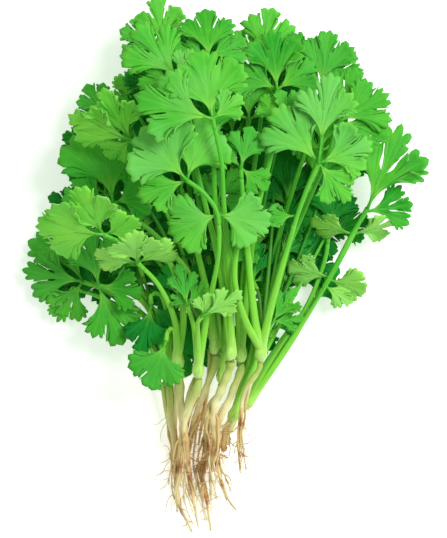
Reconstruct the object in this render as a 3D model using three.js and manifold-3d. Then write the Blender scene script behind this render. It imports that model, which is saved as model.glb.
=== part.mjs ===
// A bunch of young coriander, pulled with its roots and laid down on a table.
//
// Ten plants lie together, roots towards -Y and leaves towards +Y, the way a grocer lays
// a bunch down. Each plant is a tan taproot with rootlets, a swollen pale crown that its
// leaf stalks rise from, and the compound leaves that the stalks carry. The leaves at the
// back lie flat on the table, and the bunch rests on them. Millimetres, +Z up, Z = 0 is
// the table.

import * as THREE from "three";
import { mergeVertices } from "three/addons/utils/BufferGeometryUtils.js";
import Module from "manifold-3d";

const wasm = await Module();
wasm.setup();

// ---------------------------------------------------------------- driving sizes
const BLADE_THICK = 0.8; // a leaf blade, thicker than life so that it is a sound solid
const LAYER = 2; // how far the end leaflet of a leaf lies above the side ones
const SMALL_LEAFLET = 17; // below this length a leaflet has 5 teeth
const LARGE_LEAFLET = 24; // and below this one 7, where others have 9
const NECK_LONG = 0.14; // the neck of an end leaflet, as a share of the leaflet's length
const SIDE_NECK = 2.5; // the neck of a leaflet that grows further back on the stalk
const NECK_HALF = 0.85; // half a neck's width
const NECK_HIGH = 1; // how far its top stands over its middle line
const NECK_SUNK = 0.4; // and how far it runs into the stalk

const STALK_FOOT = 1.9; // radius of a leaf stalk where it leaves the crown
const STALK_TIP = 1.05; // and where it meets its leaflets
const STALK_NARROWS = 0.8; // the share of its length over which it narrows
const STALK_START = 6; // how far up the crown's middle a stalk begins
const RACHIS = 5; // length of the stalk's last stretch, which belongs to the leaf
const TOUCH_GAP = 0.3; // space kept between pieces that touch

const CROWN_LONG = 17;
const CROWN_WIDE = 3.7; // radius of the crown at its fullest
const CROWN_FOOT = 0.72; // its radius at its foot, as a share of that
const CROWN_FULL = 0.36; // how far up the crown it is fullest
const CROWN_TAPER = 0.12; // and how much narrower than its foot it is at its top
const CROWN_RISE = 6; // degrees that a crown points up from the table

const ROOT_TIP = 0.6; // radius at a taproot's tip
const ROOT_STRAIGHT = 4; // how far a taproot goes on in line with its crown
const ROOTLET = { wide: 0.5, long: 11, longer: 4, out: 38, further: 14 }; // mm and degrees
const ROOTLETS = { from: 0.35, over: 0.6 }; // the stretch of the taproot that they grow on

// How far apart a tube's rings are, and how many sides it has.
const STALK_TUBE = { step: 20, sides: 5 };
const RACHIS_TUBE = { step: 6, sides: 5 };
const ROOT_TUBE = { step: 10, sides: 6 };
const CROWN_TUBE = { step: 3.4, sides: 8 };
const ROOTLET_SIDES = 3;

const MIDDLE_X = 1.5; // the middle of the whole bunch, which becomes the origin
const MIDDLE_Y = 1;
const LAID_Z = BLADE_THICK / 2; // a blade's middle when its underside is on the table

// ---------------------------------------------------------------- colours
const TONES = { dark: 0x17701f, mid: 0x36a02c, bright: 0x58c63c, pale: 0x95d66e };
const LEAF_ROUGHNESS = 0.55;
const STALK_LOOK = { color: 0x8fdc55, roughness: 0.4 };
const ROOT_LOOK = { color: 0xd9b98a, roughness: 0.85 };

// ---------------------------------------------------------------- leaflet outlines
// spread: half the fan's angle, in degrees. side: how far its sides reach, as a share of
// its tip. teeth: how many teeth. tooth, sinus: how deep the notches between the teeth,
// and between the three lobes, are cut, as a share of the reach.
const FORMS = {
  broad: { spread: 84, side: 0.8, teeth: 9, tooth: 0.14, sinus: 0.34 },
  fan: { spread: 58, side: 0.86, teeth: 9, tooth: 0.14, sinus: 0.3 },
  lobed: { spread: 50, side: 0.8, teeth: 9, tooth: 0.22, sinus: 0.48 },
  small: { spread: 60, side: 0.76, teeth: 7, tooth: 0.16, sinus: 0.32 },
  fine: { spread: 50, side: 0.62, teeth: 7, tooth: 0.36, sinus: 0.5 },
};
const LOBES = 3;
// The rows of points across a blade, inside its toothed edge: how far out, and how many.
const FOOT_ROW = { reach: 0.07, points: 2 };
const MIDDLE_ROW = { reach: 0.42, points: 5 };
const WEDGE = 0.45; // how much narrower than a plain fan a blade is at its foot
// How a blade bends: droop towards its tip, cup across it, and wave round its edge.
const BEND = { droop: 0.1, cup: 0.04, wave: 0.025 };
const LAID = { droop: 0, cup: 0, wave: 0 };
const WAVES = 3; // waves in one radian of edge
// What each plant, leaf and leaflet adds to the place where its edge's waves begin.
const PHASE = { plant: 6, leaf: 2, leaflet: 1.7 };

// ---------------------------------------------------------------- the plants
// crown: the foot of the stalks, and grows: the way they leave it, in degrees from +X.
// root: the taproot's route below the crown, with its radius at the top; rootlets: how
// many, and the side they grow to. A leaf's route is its stalk's, from the crown to where
// the leaflets meet. thick: its stalk's thickness, where it isn't the usual one. tilt:
// [heading, degrees] that the leaf's plane rises that way. laid: the leaf lies flat on
// the table, or as far above it as above says.
// A leaflet is [heading, length, more]. more can hold its form, its neck, how far back
// along the stalk it grows, how much its tip lifts, and its twist about its own middle.
const PLANTS = [
  {
    crown: [-26, -55, 9], grows: 98, rootWide: 3, rootlets: [4, -1],
    root: [[-25, -73, 7], [-23, -85, 5], [-23, -99, 4], [-22, -116, 3]],
    leaves: [
      { route: [[-30, -32, 13], [-37, -17, 18], [-47, -10, 21], [-59, -8, 22]], tone: "mid",
        leaflets: [[352, 19, { lift: 14 }], [290, 26], [100, 24]] },
      { route: [[-31, -33, 8], [-38, -22, 8], [-52, -12, 9], [-67, -6, 10]], tone: "mid",
        form: "lobed", leaflets: [[170, 24], [118, 30], [236, 19]] },
      { route: [[-26, -28, 17], [-29, -13, 22], [-34, -12, 24], [-34, -17, 24]], tone: "dark",
        form: "small", leaflets: [[258, 20], [312, 14]] },
      { route: [[-33, -26, 6], [-38, -14, 4.8], [-43, -4, 1.5]], tone: "dark", laid: true,
        leaflets: [[118, 27], [54, 22], [184, 22]] },
      { route: [[-22, -36, 5], [-15, -22, 1.5]], tone: "dark", laid: true,
        leaflets: [[124, 25], [182, 17]] },
    ],
  },
  {
    crown: [-21, -48, 20], grows: 96, rootWide: 3.1, rootlets: [3, -1],
    root: [[-20, -69, 15], [-18, -80, 12], [-16, -99, 9], [-12, -123, 6]],
    leaves: [
      { route: [[-23, -24, 29], [-30, -8, 40], [-40, 3, 48]], tone: "pale",
        form: "small", tilt: [97, 52], leaflets: [[97, 21], [155, 18], [40, 18]] },
      { route: [[-19, -20, 27], [-26, 4, 36], [-44, 11, 42], [-56, 16, 45]], tone: "bright",
        tilt: [80, 38], leaflets: [[178, 28], [112, 24], [25, 17]] },
      { route: [[-23, -29, 27], [-26, -29, 30], [-27, -34, 31]], tone: "mid",
        form: "broad", leaflets: [[250, 21]] },
    ],
  },
  {
    crown: [-12, -52, 28], grows: 88, rootWide: 3.1, rootlets: [3, 1],
    root: [[-18, -70, 23], [-20, -83, 20], [-21, -97, 16], [-22, -109, 12], [-15, -125, 7]],
    leaves: [
      { route: [[-7, -18, 39], [-3, 2, 49], [-2, 14, 54], [-3, 26, 58], [-9, 35, 60], [-17, 41, 61]],
        tone: "bright",
        leaflets: [[132, 29], [72, 27, { form: "broad" }], [200, 20],
          [200, 22, { back: 22 }], [350, 22, { back: 22 }]] },
      { route: [[-12, -29, 39], [-12, -25, 45], [-10, -22, 47]], tone: "pale",
        form: "small", tilt: [120, 38], leaflets: [[28, 20], [85, 13]] },
      { route: [[-14, -27, 35], [-17, -17, 38]], tone: "pale",
        form: "fine", leaflets: [[100, 17], [50, 13], [148, 8]] },
    ],
  },
  {
    crown: [-4, -41, 17], grows: 92, rootWide: 2.8, rootlets: [0, 1],
    root: [[-9, -58, 14], [-13, -69, 11], [-16, -80, 6], [-17, -94, 4], [-16, -109, 3]],
    leaves: [
      { route: [[-9, -12, 21], [-28, 12, 24], [-42, 24, 26], [-52, 31, 27]], tone: "dark",
        form: "broad", leaflets: [[98, 34], [174, 22], [18, 20, { lift: 20 }]] },
      { route: [[-8, -10, 26], [-17, 22, 34], [-33, 48, 42], [-43, 60, 45]], tone: "bright",
        tilt: [75, 42], leaflets: [[160, 27], [112, 25], [222, 16]] },
      { route: [[-14, -12, 17], [-28, 4, 16], [-39, 17, 16]], tone: "dark",
        leaflets: [[62, 22], [124, 20], [0, 18]] },
    ],
  },
  {
    crown: [-1, -55, 9], grows: 85, rootWide: 3.1, rootlets: [3, -1],
    root: [[-7, -67, 8], [-8, -78, 8], [-8, -87, 8], [-11, -109, 5]],
    leaves: [
      { route: [[-4, -14, 13], [-9, 15, 18], [-14, 45, 23], [-20, 74, 28], [-24, 86, 30]],
        tone: "dark", leaflets: [[172, 21], [105, 18], [238, 16]] },
      { route: [[-5, -15, 9], [-12, 15, 12], [-18, 47, 16], [-25, 84, 20], [-28, 104, 22]],
        tone: "bright", form: "small", leaflets: [[100, 21], [158, 20], [42, 16]] },
      { route: [[2, -14, 14], [5, 15, 19], [8, 45, 25], [12, 70, 31]], tone: "mid",
        leaflets: [[92, 22], [150, 18], [34, 18]] },
      { route: [[-6, -14, 7], [-14, 14, 9], [-25, 42, 10]], tone: "dark",
        leaflets: [[120, 27], [58, 22], [185, 22]] },
      { route: [[-2, -12, 9], [-3, 24, 8.5], [-2, 46, 5], [-1, 60, 1.5]], tone: "dark",
        laid: true, leaflets: [[95, 28], [30, 23], [160, 23]] },
      { route: [[4, -12, 7], [9, 8, 6.5], [14, 24, 9], [17, 36, 11]], tone: "dark",
        leaflets: [[75, 27], [16, 18], [140, 22]] },
      { route: [[-3, -20, 6.5], [-5, -4, 5.8], [-6, 9, 4.5]], tone: "dark", laid: true, above: 3,
        leaflets: [[95, 25], [32, 22], [157, 20]] },
    ],
  },
  {
    crown: [3, -44, 27], grows: 85, rootWide: 3.2, rootlets: [4, -1],
    root: [[-4, -64, 24], [-5, -73, 22], [-4, -83, 19], [-6, -94, 15], [-6, -110, 9]],
    leaves: [
      { route: [[3, -10, 38], [1, 20, 49.5], [0, 32, 55], [-1, 50, 64], [-5, 69, 67]], tone: "bright",
        leaflets: [[164, 32], [100, 29], [38, 15, { form: "small" }]] },
      { route: [[0, -10, 35], [-4, 12, 39], [-9, 32, 42], [-18, 70, 46], [-21, 88, 48]],
        tone: "bright", leaflets: [[128, 28], [186, 16], [66, 14]] },
      { route: [[2, -10, 32], [-1, 12, 34], [-4, 32, 36], [-5, 75, 41], [-7, 98, 45]],
        tone: "mid", tilt: [270, 25], leaflets: [[92, 23], [155, 15], [33, 18]] },
    ],
  },
  {
    crown: [8, -45, 17], grows: 88, rootWide: 2.8, rootlets: [4, 1],
    root: [[3, -61, 16], [-2, -72, 15], [-4, -80, 13], [-3, -94, 9], [2, -109, 5], [6, -115, 4]],
    leaves: [
      { route: [[11, -12, 23], [14, 15, 28], [18, 37, 32], [24, 65, 35], [25, 84, 37]],
        tone: "mid", leaflets: [[94, 25], [150, 20], [36, 20]] },
      { route: [[9, -12, 20], [11, 15, 22], [13, 37, 24], [18, 75, 24.5], [18, 97, 25.5]],
        tone: "bright", form: "small", leaflets: [[79, 24], [130, 17], [25, 17]] },
      { route: [[6, -12, 22], [2, 12, 26], [-3, 32, 30]], tone: "mid",
        form: "small", leaflets: [[60, 15], [122, 13], [0, 13]] },
    ],
  },
  {
    crown: [17, -44, 27], grows: 82, rootWide: 2.1, rootlets: [6, 1],
    root: [[11, -56, 24], [9, -62, 22], [8, -73, 19], [7, -80, 16], [8, -97, 12]],
    leaves: [
      { route: [[23, -14, 36], [28, 4, 43], [36, 30, 52], [44, 49, 57]], tone: "bright", thick: 1.2,
        leaflets: [[83, 28, { neck: 13 }], [128, 30], [20, 23], [310, 19],
          [182, 13, { back: 27, twist: 45, form: "small" }]] },
      { route: [[11, -26, 35], [5.5, -8, 44], [6, 8, 46], [9, 18, 47], [9, 32, 49], [8, 47, 51]],
        tone: "mid", form: "small", leaflets: [[75, 17], [130, 17], [322, 14]] },
      { route: [[15, -26, 32], [12, 0, 38], [11.5, 16, 40], [18, 37, 43], [26, 68, 46]],
        tone: "mid", form: "small", thick: 1.25, leaflets: [[60, 15], [122, 13], [0, 13]] },
    ],
  },
  {
    crown: [3, -73, 10], grows: 65, rootWide: 3, rootlets: [0, 1],
    root: [[1, -79, 10], [0, -87, 10]],
    leaves: [
      { route: [[13, -44, 10], [18, -15, 14], [31, 32, 22], [40, 60, 28], [46, 85, 32]],
        tone: "mid", leaflets: [[83, 24], [120, 25], [50, 21]] },
      { route: [[15, -44, 12.5], [20, -15, 19], [36, 23, 28], [48, 51, 35], [54, 69, 39]],
        tone: "mid", leaflets: [[28, 24], [72, 23], [346, 21]] },
      { route: [[17, -38, 8], [25, -18, 7.5], [36, 3, 7]], tone: "dark",
        form: "small", leaflets: [[50, 20], [110, 17], [350, 17]] },
      { route: [[17, -40, 15], [20, -32, 20], [23, -25, 24]], tone: "pale",
        form: "fine", leaflets: [[55, 17], [105, 13], [8, 13]] },
      { route: [[16, -42, 6], [26, -12, 5.5], [36, 23, 1.5]], tone: "dark", laid: true,
        leaflets: [[50, 28], [346, 22], [112, 22]] },
      { route: [[10, -48, 5], [11, -30, 3], [12, -15, 1.5]], tone: "dark", laid: true,
        leaflets: [[86, 26], [24, 20], [150, 16]] },
    ],
  },
  {
    crown: [9, -67, 4], grows: 50, rootWide: 2.4, rootlets: [3, 1],
    root: [[1, -80, 3], [-6, -89, 2.5], [-11, -94, 2.3], [-10, -103, 2.1], [-8, -111, 1.8], [-6, -125, 1]],
    leaves: [
      { route: [[30, -38, 8], [38, -25, 11], [49, -6, 15], [60, 15, 21], [68, 29, 26]],
        tone: "mid", form: "small",
        leaflets: [[66, 35, { form: "lobed" }], [12, 20, { back: 15, twist: 50 }],
          [165, 18, { back: 15, twist: -50 }], [342, 18, { back: 40, twist: 20, form: "broad" }],
          [165, 18, { back: 39, twist: -15 }]] },
      { route: [[20, -48, 6], [27, -37, 7], [40, -17, 10.5], [48, 4, 11], [50, 17, 11.5]], tone: "dark",
        leaflets: [[80, 22], [130, 16], [20, 18]] },
    ],
  },
];

// ---------------------------------------------------------------- small tools
const UP = new THREE.Vector3(0, 0, 1);
const GOLDEN = (Math.sqrt(5) - 1) / 2;
const radians = THREE.MathUtils.degToRad;
const mix = THREE.MathUtils.lerp;
// Values from -1 to 1 by steps of the golden ratio, in place of chance.
const vary = (n) => 2 * ((n * GOLDEN) % 1) - 1;
const vector = ([x, y, z]) => new THREE.Vector3(x, y, z);
const pointing = (heading, rise) => new THREE.Vector3(1, 0, 0)
  .applyAxisAngle(new THREE.Vector3(0, -1, 0), radians(rise))
  .applyAxisAngle(UP, radians(heading));
const through = (points) => new THREE.CatmullRomCurve3(points, false, "catmullrom", 0.5);

// A closed geometry as a solid that can be joined to others.
function solid(geometry) {
  geometry.deleteAttribute("normal");
  geometry.deleteAttribute("uv");
  const { attributes, index } = mergeVertices(geometry, 1e-4);
  const vertProperties = attributes.position.array;
  const triVerts = new Uint32Array(index.array);
  return new wasm.Manifold(new wasm.Mesh({ numProp: 3, vertProperties, triVerts }));
}

// Solids joined in one, as a named mesh.
function joined(name, solids, look) {
  const { vertProperties, triVerts } = wasm.Manifold.union(solids).getMesh();
  const geometry = new THREE.BufferGeometry();
  geometry.setAttribute("position", new THREE.BufferAttribute(vertProperties, 3));
  geometry.setIndex(new THREE.BufferAttribute(triVerts, 1));
  geometry.computeVertexNormals();
  const mesh = new THREE.Mesh(geometry, new THREE.MeshStandardMaterial({ ...look, metalness: 0 }));
  mesh.name = name;
  return mesh;
}

// A tube along a stretch of a curve: a cylinder bent along it, with its radius at each
// share of the stretch. Its rings stand square to the curve.
function tube(curve, [start, end], steps, sides, radiusAt) {
  const geometry = new THREE.CylinderGeometry(1, 1, 1, sides, steps);
  const place = geometry.attributes.position;
  for (let i = 0; i < place.count; i += 1) {
    const share = place.getY(i) + 0.5;
    const along = mix(start, end, share);
    const tangent = curve.getTangentAt(along);
    const across = UP.clone().cross(tangent).normalize();
    const above = tangent.clone().cross(across);
    const at = curve.getPointAt(along)
      .addScaledVector(across, place.getX(i) * radiusAt(share))
      .addScaledVector(above, -place.getZ(i) * radiusAt(share));
    place.setXYZ(i, at.x, at.y, at.z);
  }
  return solid(geometry);
}

// ---------------------------------------------------------------- leaflets
// How far out a blade's rim is, as a share of its length, where turn goes from -1 on its
// right side to 1 on its left.
const rimReach = ({ side }, turn) => side + (1 - side) * (1 - turn * turn);

// The points of a leaflet's edge, as [angle, reach]: a tooth, a notch, a tooth and so on.
function edgeOf(form) {
  const { spread, teeth, tooth, sinus } = form;
  const lobe = Math.round(teeth / LOBES);
  const sinuses = [2 * lobe - 1, 2 * (teeth - lobe) - 1];
  return Array.from({ length: 2 * teeth - 1 }, (_, k) => {
    const turn = (k + 1) / teeth - 1;
    const notch = k % 2 ? (sinuses.includes(k) ? sinus : tooth) : 0;
    return [radians(spread) * turn, rimReach(form, turn) * (1 - notch)];
  });
}

// A plain row of points across the blade, at a share of its length.
function rowOf(form, widest, { reach, points }) {
  return Array.from({ length: points }, (_, k) => {
    const turn = (2 * k) / (points - 1) - 1;
    return [turn * widest, reach * rimReach(form, turn)];
  });
}

// The triangles between two rows of points, each named by its first index and its length.
function strip([first, count], [second, many]) {
  const faces = [];
  let i = 0;
  let j = 0;
  while (i + 1 < count || j + 1 < many) {
    const innerIsBehind = (i + 0.5) * (many - 1) <= j * (count - 1);
    if (j + 1 >= many || (i + 1 < count && innerIsBehind)) {
      faces.push([first + i, second + j, first + i + 1]);
      i += 1;
    } else {
      faces.push([first + i, second + j, second + j + 1]);
      j += 1;
    }
  }
  return faces;
}

// The points of a leaflet's middle surface, row by row: the neck's start, the blade's
// foot, its middle row (on a large leaflet) and its toothed edge.
function leafletRows(long, neck, form, bend, phase) {
  const edge = edgeOf(form);
  const widest = edge[edge.length - 1][0];
  const inner = long < LARGE_LEAFLET ? [FOOT_ROW] : [FOOT_ROW, MIDDLE_ROW];
  const place = ([angle, reach]) => {
    const flare = angle * (1 - WEDGE * (1 - Math.min(1, reach)));
    const x = reach * Math.cos(flare);
    const y = reach * Math.sin(flare);
    const wave = bend.wave * Math.sin(WAVES * angle + phase) * reach * reach;
    const z = bend.cup * y * y - bend.droop * x * x + wave;
    return [neck + x * long, y * long, z * long];
  };
  const start = [[-NECK_SUNK, -NECK_HALF, 0], [-NECK_SUNK, NECK_HALF, 0]];
  const blade = [...inner.map((row) => rowOf(form, widest, row)), edge];
  return [start, ...blade.map((row) => row.map(place))];
}

// A leaflet as a closed shape from the origin along +X, with the same triangles on its
// upper and its lower face.
function leafletShape(long, neck, form, bend, phase) {
  const rows = leafletRows(long, neck, form, bend, phase);
  const count = rows.flat().length;
  const starts = rows.map((_, k) => rows.slice(0, k).flat().length);
  const spans = rows.map((row, k) => [starts[k], row.length]);
  const top = spans.slice(1).flatMap((span, k) => strip(spans[k], span));
  const bottom = top.map(([a, b, c]) => [a + count, c + count, b + count]);

  const [edgeStart, edgeLength] = spans[spans.length - 1];
  const right = starts.slice(0, -1);
  const edge = Array.from({ length: edgeLength }, (_, k) => edgeStart + k);
  const left = spans.slice(0, -1).map(([first, length]) => first + length - 1).reverse();
  const rim = [...right, ...edge, ...left];
  const wall = rim.flatMap((a, k) => {
    const b = rim[(k + 1) % rim.length];
    return [[a, a + count, b], [b, a + count, b + count]];
  });

  const heights = [NECK_HIGH, ...Array(rows.length - 1).fill(BLADE_THICK / 2)];
  const upper = rows.flatMap((row, k) => row.map(([x, y, z]) => [x, y, z + heights[k]]));
  const lower = rows.flat().map(([x, y, z]) => [x, y, z - BLADE_THICK / 2]);
  const geometry = new THREE.BufferGeometry();
  geometry.setAttribute("position", new THREE.Float32BufferAttribute([...upper, ...lower].flat(), 3));
  geometry.setIndex([...top, ...bottom, ...wall].flat());
  return geometry;
}

// How many teeth a leaflet has room for.
function teethOf(form, long) {
  if (long < SMALL_LEAFLET) return 5;
  if (long < LARGE_LEAFLET) return 7;
  return form.teeth;
}

// One leaflet in its place on its leaf, with the leaf's tilt.
function leaflet([heading, long, more = {}], at, leaf, phase) {
  const { back = 0, lift = 0, twist = 0 } = more;
  const form = FORMS[more.form ?? leaf.form ?? "fan"];
  const neck = more.neck ?? (back ? SIDE_NECK : NECK_LONG * long);
  const [tiltWay, tilt] = leaf.tilt ?? [0, 0];
  const turns = [
    new THREE.Matrix4().makeTranslation(at),
    new THREE.Matrix4().makeRotationZ(radians(tiltWay)),
    new THREE.Matrix4().makeRotationY(radians(-tilt)),
    new THREE.Matrix4().makeRotationZ(radians(heading - tiltWay)),
    new THREE.Matrix4().makeRotationY(radians(-lift)),
    new THREE.Matrix4().makeRotationX(radians(twist)),
  ];
  const placed = turns.reduce((all, next) => all.multiply(next), new THREE.Matrix4());
  const toothed = { ...form, teeth: teethOf(form, long) };
  const shape = leafletShape(long, neck, toothed, leaf.laid ? LAID : BEND, phase);
  return solid(shape.applyMatrix4(placed));
}

// ---------------------------------------------------------------- stems and leaves
const growth = (plant) => pointing(plant.grows, CROWN_RISE);
const upCrown = (plant, far) => vector(plant.crown).addScaledVector(growth(plant), far);
const stalkOf = (plant, leaf) => through([upCrown(plant, STALK_START), ...leaf.route.map(vector)]);
const backOf = ([, , more = {}]) => more.back ?? 0;
// How much of the stalk's end is the leaf's: it reaches below its lowest leaflet.
const rachisOf = (leaf) => RACHIS + Math.max(...leaf.leaflets.map(backOf));

// The leaflets of one leaf on the last stretch of its stalk.
function compoundLeaf(name, plant, leaf, phase) {
  const stalk = stalkOf(plant, leaf);
  const length = stalk.getLength();
  const rachis = rachisOf(leaf);
  const steps = Math.round(rachis / RACHIS_TUBE.step);
  const stretch = tube(stalk, [1 - rachis / length, 1], steps, RACHIS_TUBE.sides, () => STALK_TIP);
  const leaflets = leaf.leaflets.map((one, k) => {
    const at = stalk.getPointAt(1 - backOf(one) / length);
    at.z = leaf.laid ? LAID_Z + (leaf.above ?? 0) : at.z - LAYER / 2;
    at.z += k ? 0 : LAYER;
    return leaflet(one, at, leaf, phase + PHASE.leaflet * k);
  });
  const look = { color: TONES[leaf.tone], roughness: LEAF_ROUGHNESS };
  return joined(name, [stretch, ...leaflets], look);
}

// A plant's crown, and the stalks that rise from it up to their leaves.
function stems(name, plant) {
  const line = new THREE.LineCurve3(upCrown(plant, 0), upCrown(plant, CROWN_LONG));
  const swell = (share) => {
    const round = Math.sin(Math.PI * Math.min(1, share / (2 * CROWN_FULL)));
    return CROWN_WIDE * (CROWN_FOOT + (1 - CROWN_FOOT) * round - CROWN_TAPER * share);
  };
  const crownSteps = Math.round(CROWN_LONG / CROWN_TUBE.step);
  const crown = tube(line, [0, 1], crownSteps, CROWN_TUBE.sides, swell);
  const stalks = plant.leaves.map((leaf) => {
    const stalk = stalkOf(plant, leaf);
    const length = stalk.getLength();
    const end = 1 - (rachisOf(leaf) + TOUCH_GAP) / length;
    const steps = Math.max(2, Math.round(length / STALK_TUBE.step));
    const radiusAt = (share) =>
      mix(STALK_FOOT, STALK_TIP, Math.min(1, share / STALK_NARROWS)) * (leaf.thick ?? 1);
    return tube(stalk, [0, end], steps, STALK_TUBE.sides, radiusAt);
  });
  return joined(name, [crown, ...stalks], STALK_LOOK);
}

// ---------------------------------------------------------------- roots
// Each rootlet's angle and length has a number of its own to vary by.
function taproot(name, plant, number) {
  const below = [-TOUCH_GAP, -ROOT_STRAIGHT].map((far) => upCrown(plant, far));
  const line = through([...below, ...plant.root.map(vector)]);
  const steps = Math.round(line.getLength() / ROOT_TUBE.step);
  const radiusAt = (share) => mix(ROOT_TIP, plant.rootWide, Math.sqrt(1 - share));
  const body = tube(line, [0, 1], steps, ROOT_TUBE.sides, radiusAt);
  const [count, side] = plant.rootlets;
  const rootlets = Array.from({ length: count }, (_, k) => {
    const share = ROOTLETS.from + (ROOTLETS.over * k) / count;
    const turn = side * (ROOTLET.out + ROOTLET.further * vary(number + k));
    const way = line.getTangentAt(share).applyAxisAngle(UP, radians(turn));
    const long = ROOTLET.long + ROOTLET.longer * vary(3 * number + k);
    const from = line.getPointAt(share);
    const fibre = new THREE.LineCurve3(from, from.clone().addScaledVector(way, long));
    return tube(fibre, [0, 1], 1, ROOTLET_SIDES, (along) => ROOTLET.wide * (1 - along / 2));
  });
  return joined(name, [body, ...rootlets], ROOT_LOOK);
}

// ---------------------------------------------------------------- the bunch
const bunch = new THREE.Group();
bunch.name = "coriander_bunch";
bunch.position.set(-MIDDLE_X, -MIDDLE_Y, 0);
PLANTS.forEach((plant, k) => {
  const name = `plant_${String(k + 1).padStart(2, "0")}`;
  bunch.add(taproot(`${name}_root`, plant, k), stems(`${name}_stems`, plant));
  plant.leaves.forEach((leaf, n) => {
    const phase = PHASE.plant * k + PHASE.leaf * n;
    bunch.add(compoundLeaf(`${name}_leaf_${"abcdefg"[n]}`, plant, leaf, phase));
  });
});

export default bunch;
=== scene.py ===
# %% [markdown]
# # A bunch of young coriander
#
# This lesson dresses a bunch of coriander plants that lie on a table. A frame of plain
# solids is already there: a root, a crown with its leaf stalks, and the compound leaves
# of each of ten plants. Every solid is replaced by a finer piece in the same place: thin
# leaf blades with pointed teeth and sunk veins, juicy stalks that go from white to green,
# and earthy roots with their hairs. Lengths are in millimetres where no comment says
# otherwise.

# %% The frame
import math
import random

import bpy
import numpy as np
from mathutils import Matrix, Vector


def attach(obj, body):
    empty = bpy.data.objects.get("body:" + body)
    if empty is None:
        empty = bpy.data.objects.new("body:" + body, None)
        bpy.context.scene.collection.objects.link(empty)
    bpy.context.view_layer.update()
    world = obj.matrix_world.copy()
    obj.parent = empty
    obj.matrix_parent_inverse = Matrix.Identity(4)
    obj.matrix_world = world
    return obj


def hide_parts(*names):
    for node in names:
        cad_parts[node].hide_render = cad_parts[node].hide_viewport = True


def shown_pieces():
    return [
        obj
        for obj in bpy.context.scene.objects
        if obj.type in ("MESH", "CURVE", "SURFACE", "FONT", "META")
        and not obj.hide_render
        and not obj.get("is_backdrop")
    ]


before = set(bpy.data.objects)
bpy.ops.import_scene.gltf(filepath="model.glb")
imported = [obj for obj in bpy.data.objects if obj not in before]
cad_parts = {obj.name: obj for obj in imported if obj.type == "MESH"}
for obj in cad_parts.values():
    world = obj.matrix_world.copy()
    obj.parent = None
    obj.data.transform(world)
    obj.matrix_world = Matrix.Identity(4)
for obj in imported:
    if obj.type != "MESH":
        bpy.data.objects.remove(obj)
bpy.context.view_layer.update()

# %% [markdown]
# ## The camera
# The bunch is seen from straight above, so the camera hangs over its middle and looks
# down. A wide lens close by would make the high leaves larger than the low ones. So a long
# lens hangs far away.

# %% Camera
MM = 0.001
MIDDLE = Vector((1.5, 1.0, 0.0))  # the middle of the bunch in the tables' own millimetres
SEEN_HEIGHT = 252.9 * MM  # what the picture shows from its top edge to its bottom edge
CAMERA_UP = 1.8  # metres above the table
MIDDLE_LAYER = 30 * MM  # half way up the bunch, where its size is measured

camera_data = bpy.data.cameras.new("camera")
camera_data.sensor_fit = "VERTICAL"
camera_data.lens = camera_data.sensor_height * (CAMERA_UP - MIDDLE_LAYER) / SEEN_HEIGHT
camera = bpy.data.objects.new("camera", camera_data)
camera.location = (-MIDDLE.x * MM, -MIDDLE.y * MM, CAMERA_UP)
bpy.context.scene.collection.objects.link(camera)
bpy.context.scene.camera = camera
print("lens:", round(camera_data.lens, 1), "mm")

# %% [markdown]
# ## The plants
# Each plant is described as it grew, in millimetres and degrees. crown is the foot of its
# stalks and grows is the heading in which they leave it. root is the taproot's route and
# root_wide its radius in the frame. more_roots are thinner roots beside it. rootlets says
# how hairy they are and to which side most hairs lean, and a blunt root has no point.
#
# A leaf's route is its stalk's, from the crown to the place where its leaflets meet. tone
# is its slot's green, and look another green to wear instead. tilt is a heading and how
# far the leaf slopes up that way. A laid leaf is flat, on the table or some way above it,
# and thick widens a stalk. A leaflet is its heading, its length and what is special about
# it: how far back it grows, its lift, its twist, its neck, its form or its look.
#
# The places could be drawn by chance, but a bunch of herbs has a definite outline and some
# leaves that everybody notices, so each one is written down.

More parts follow.
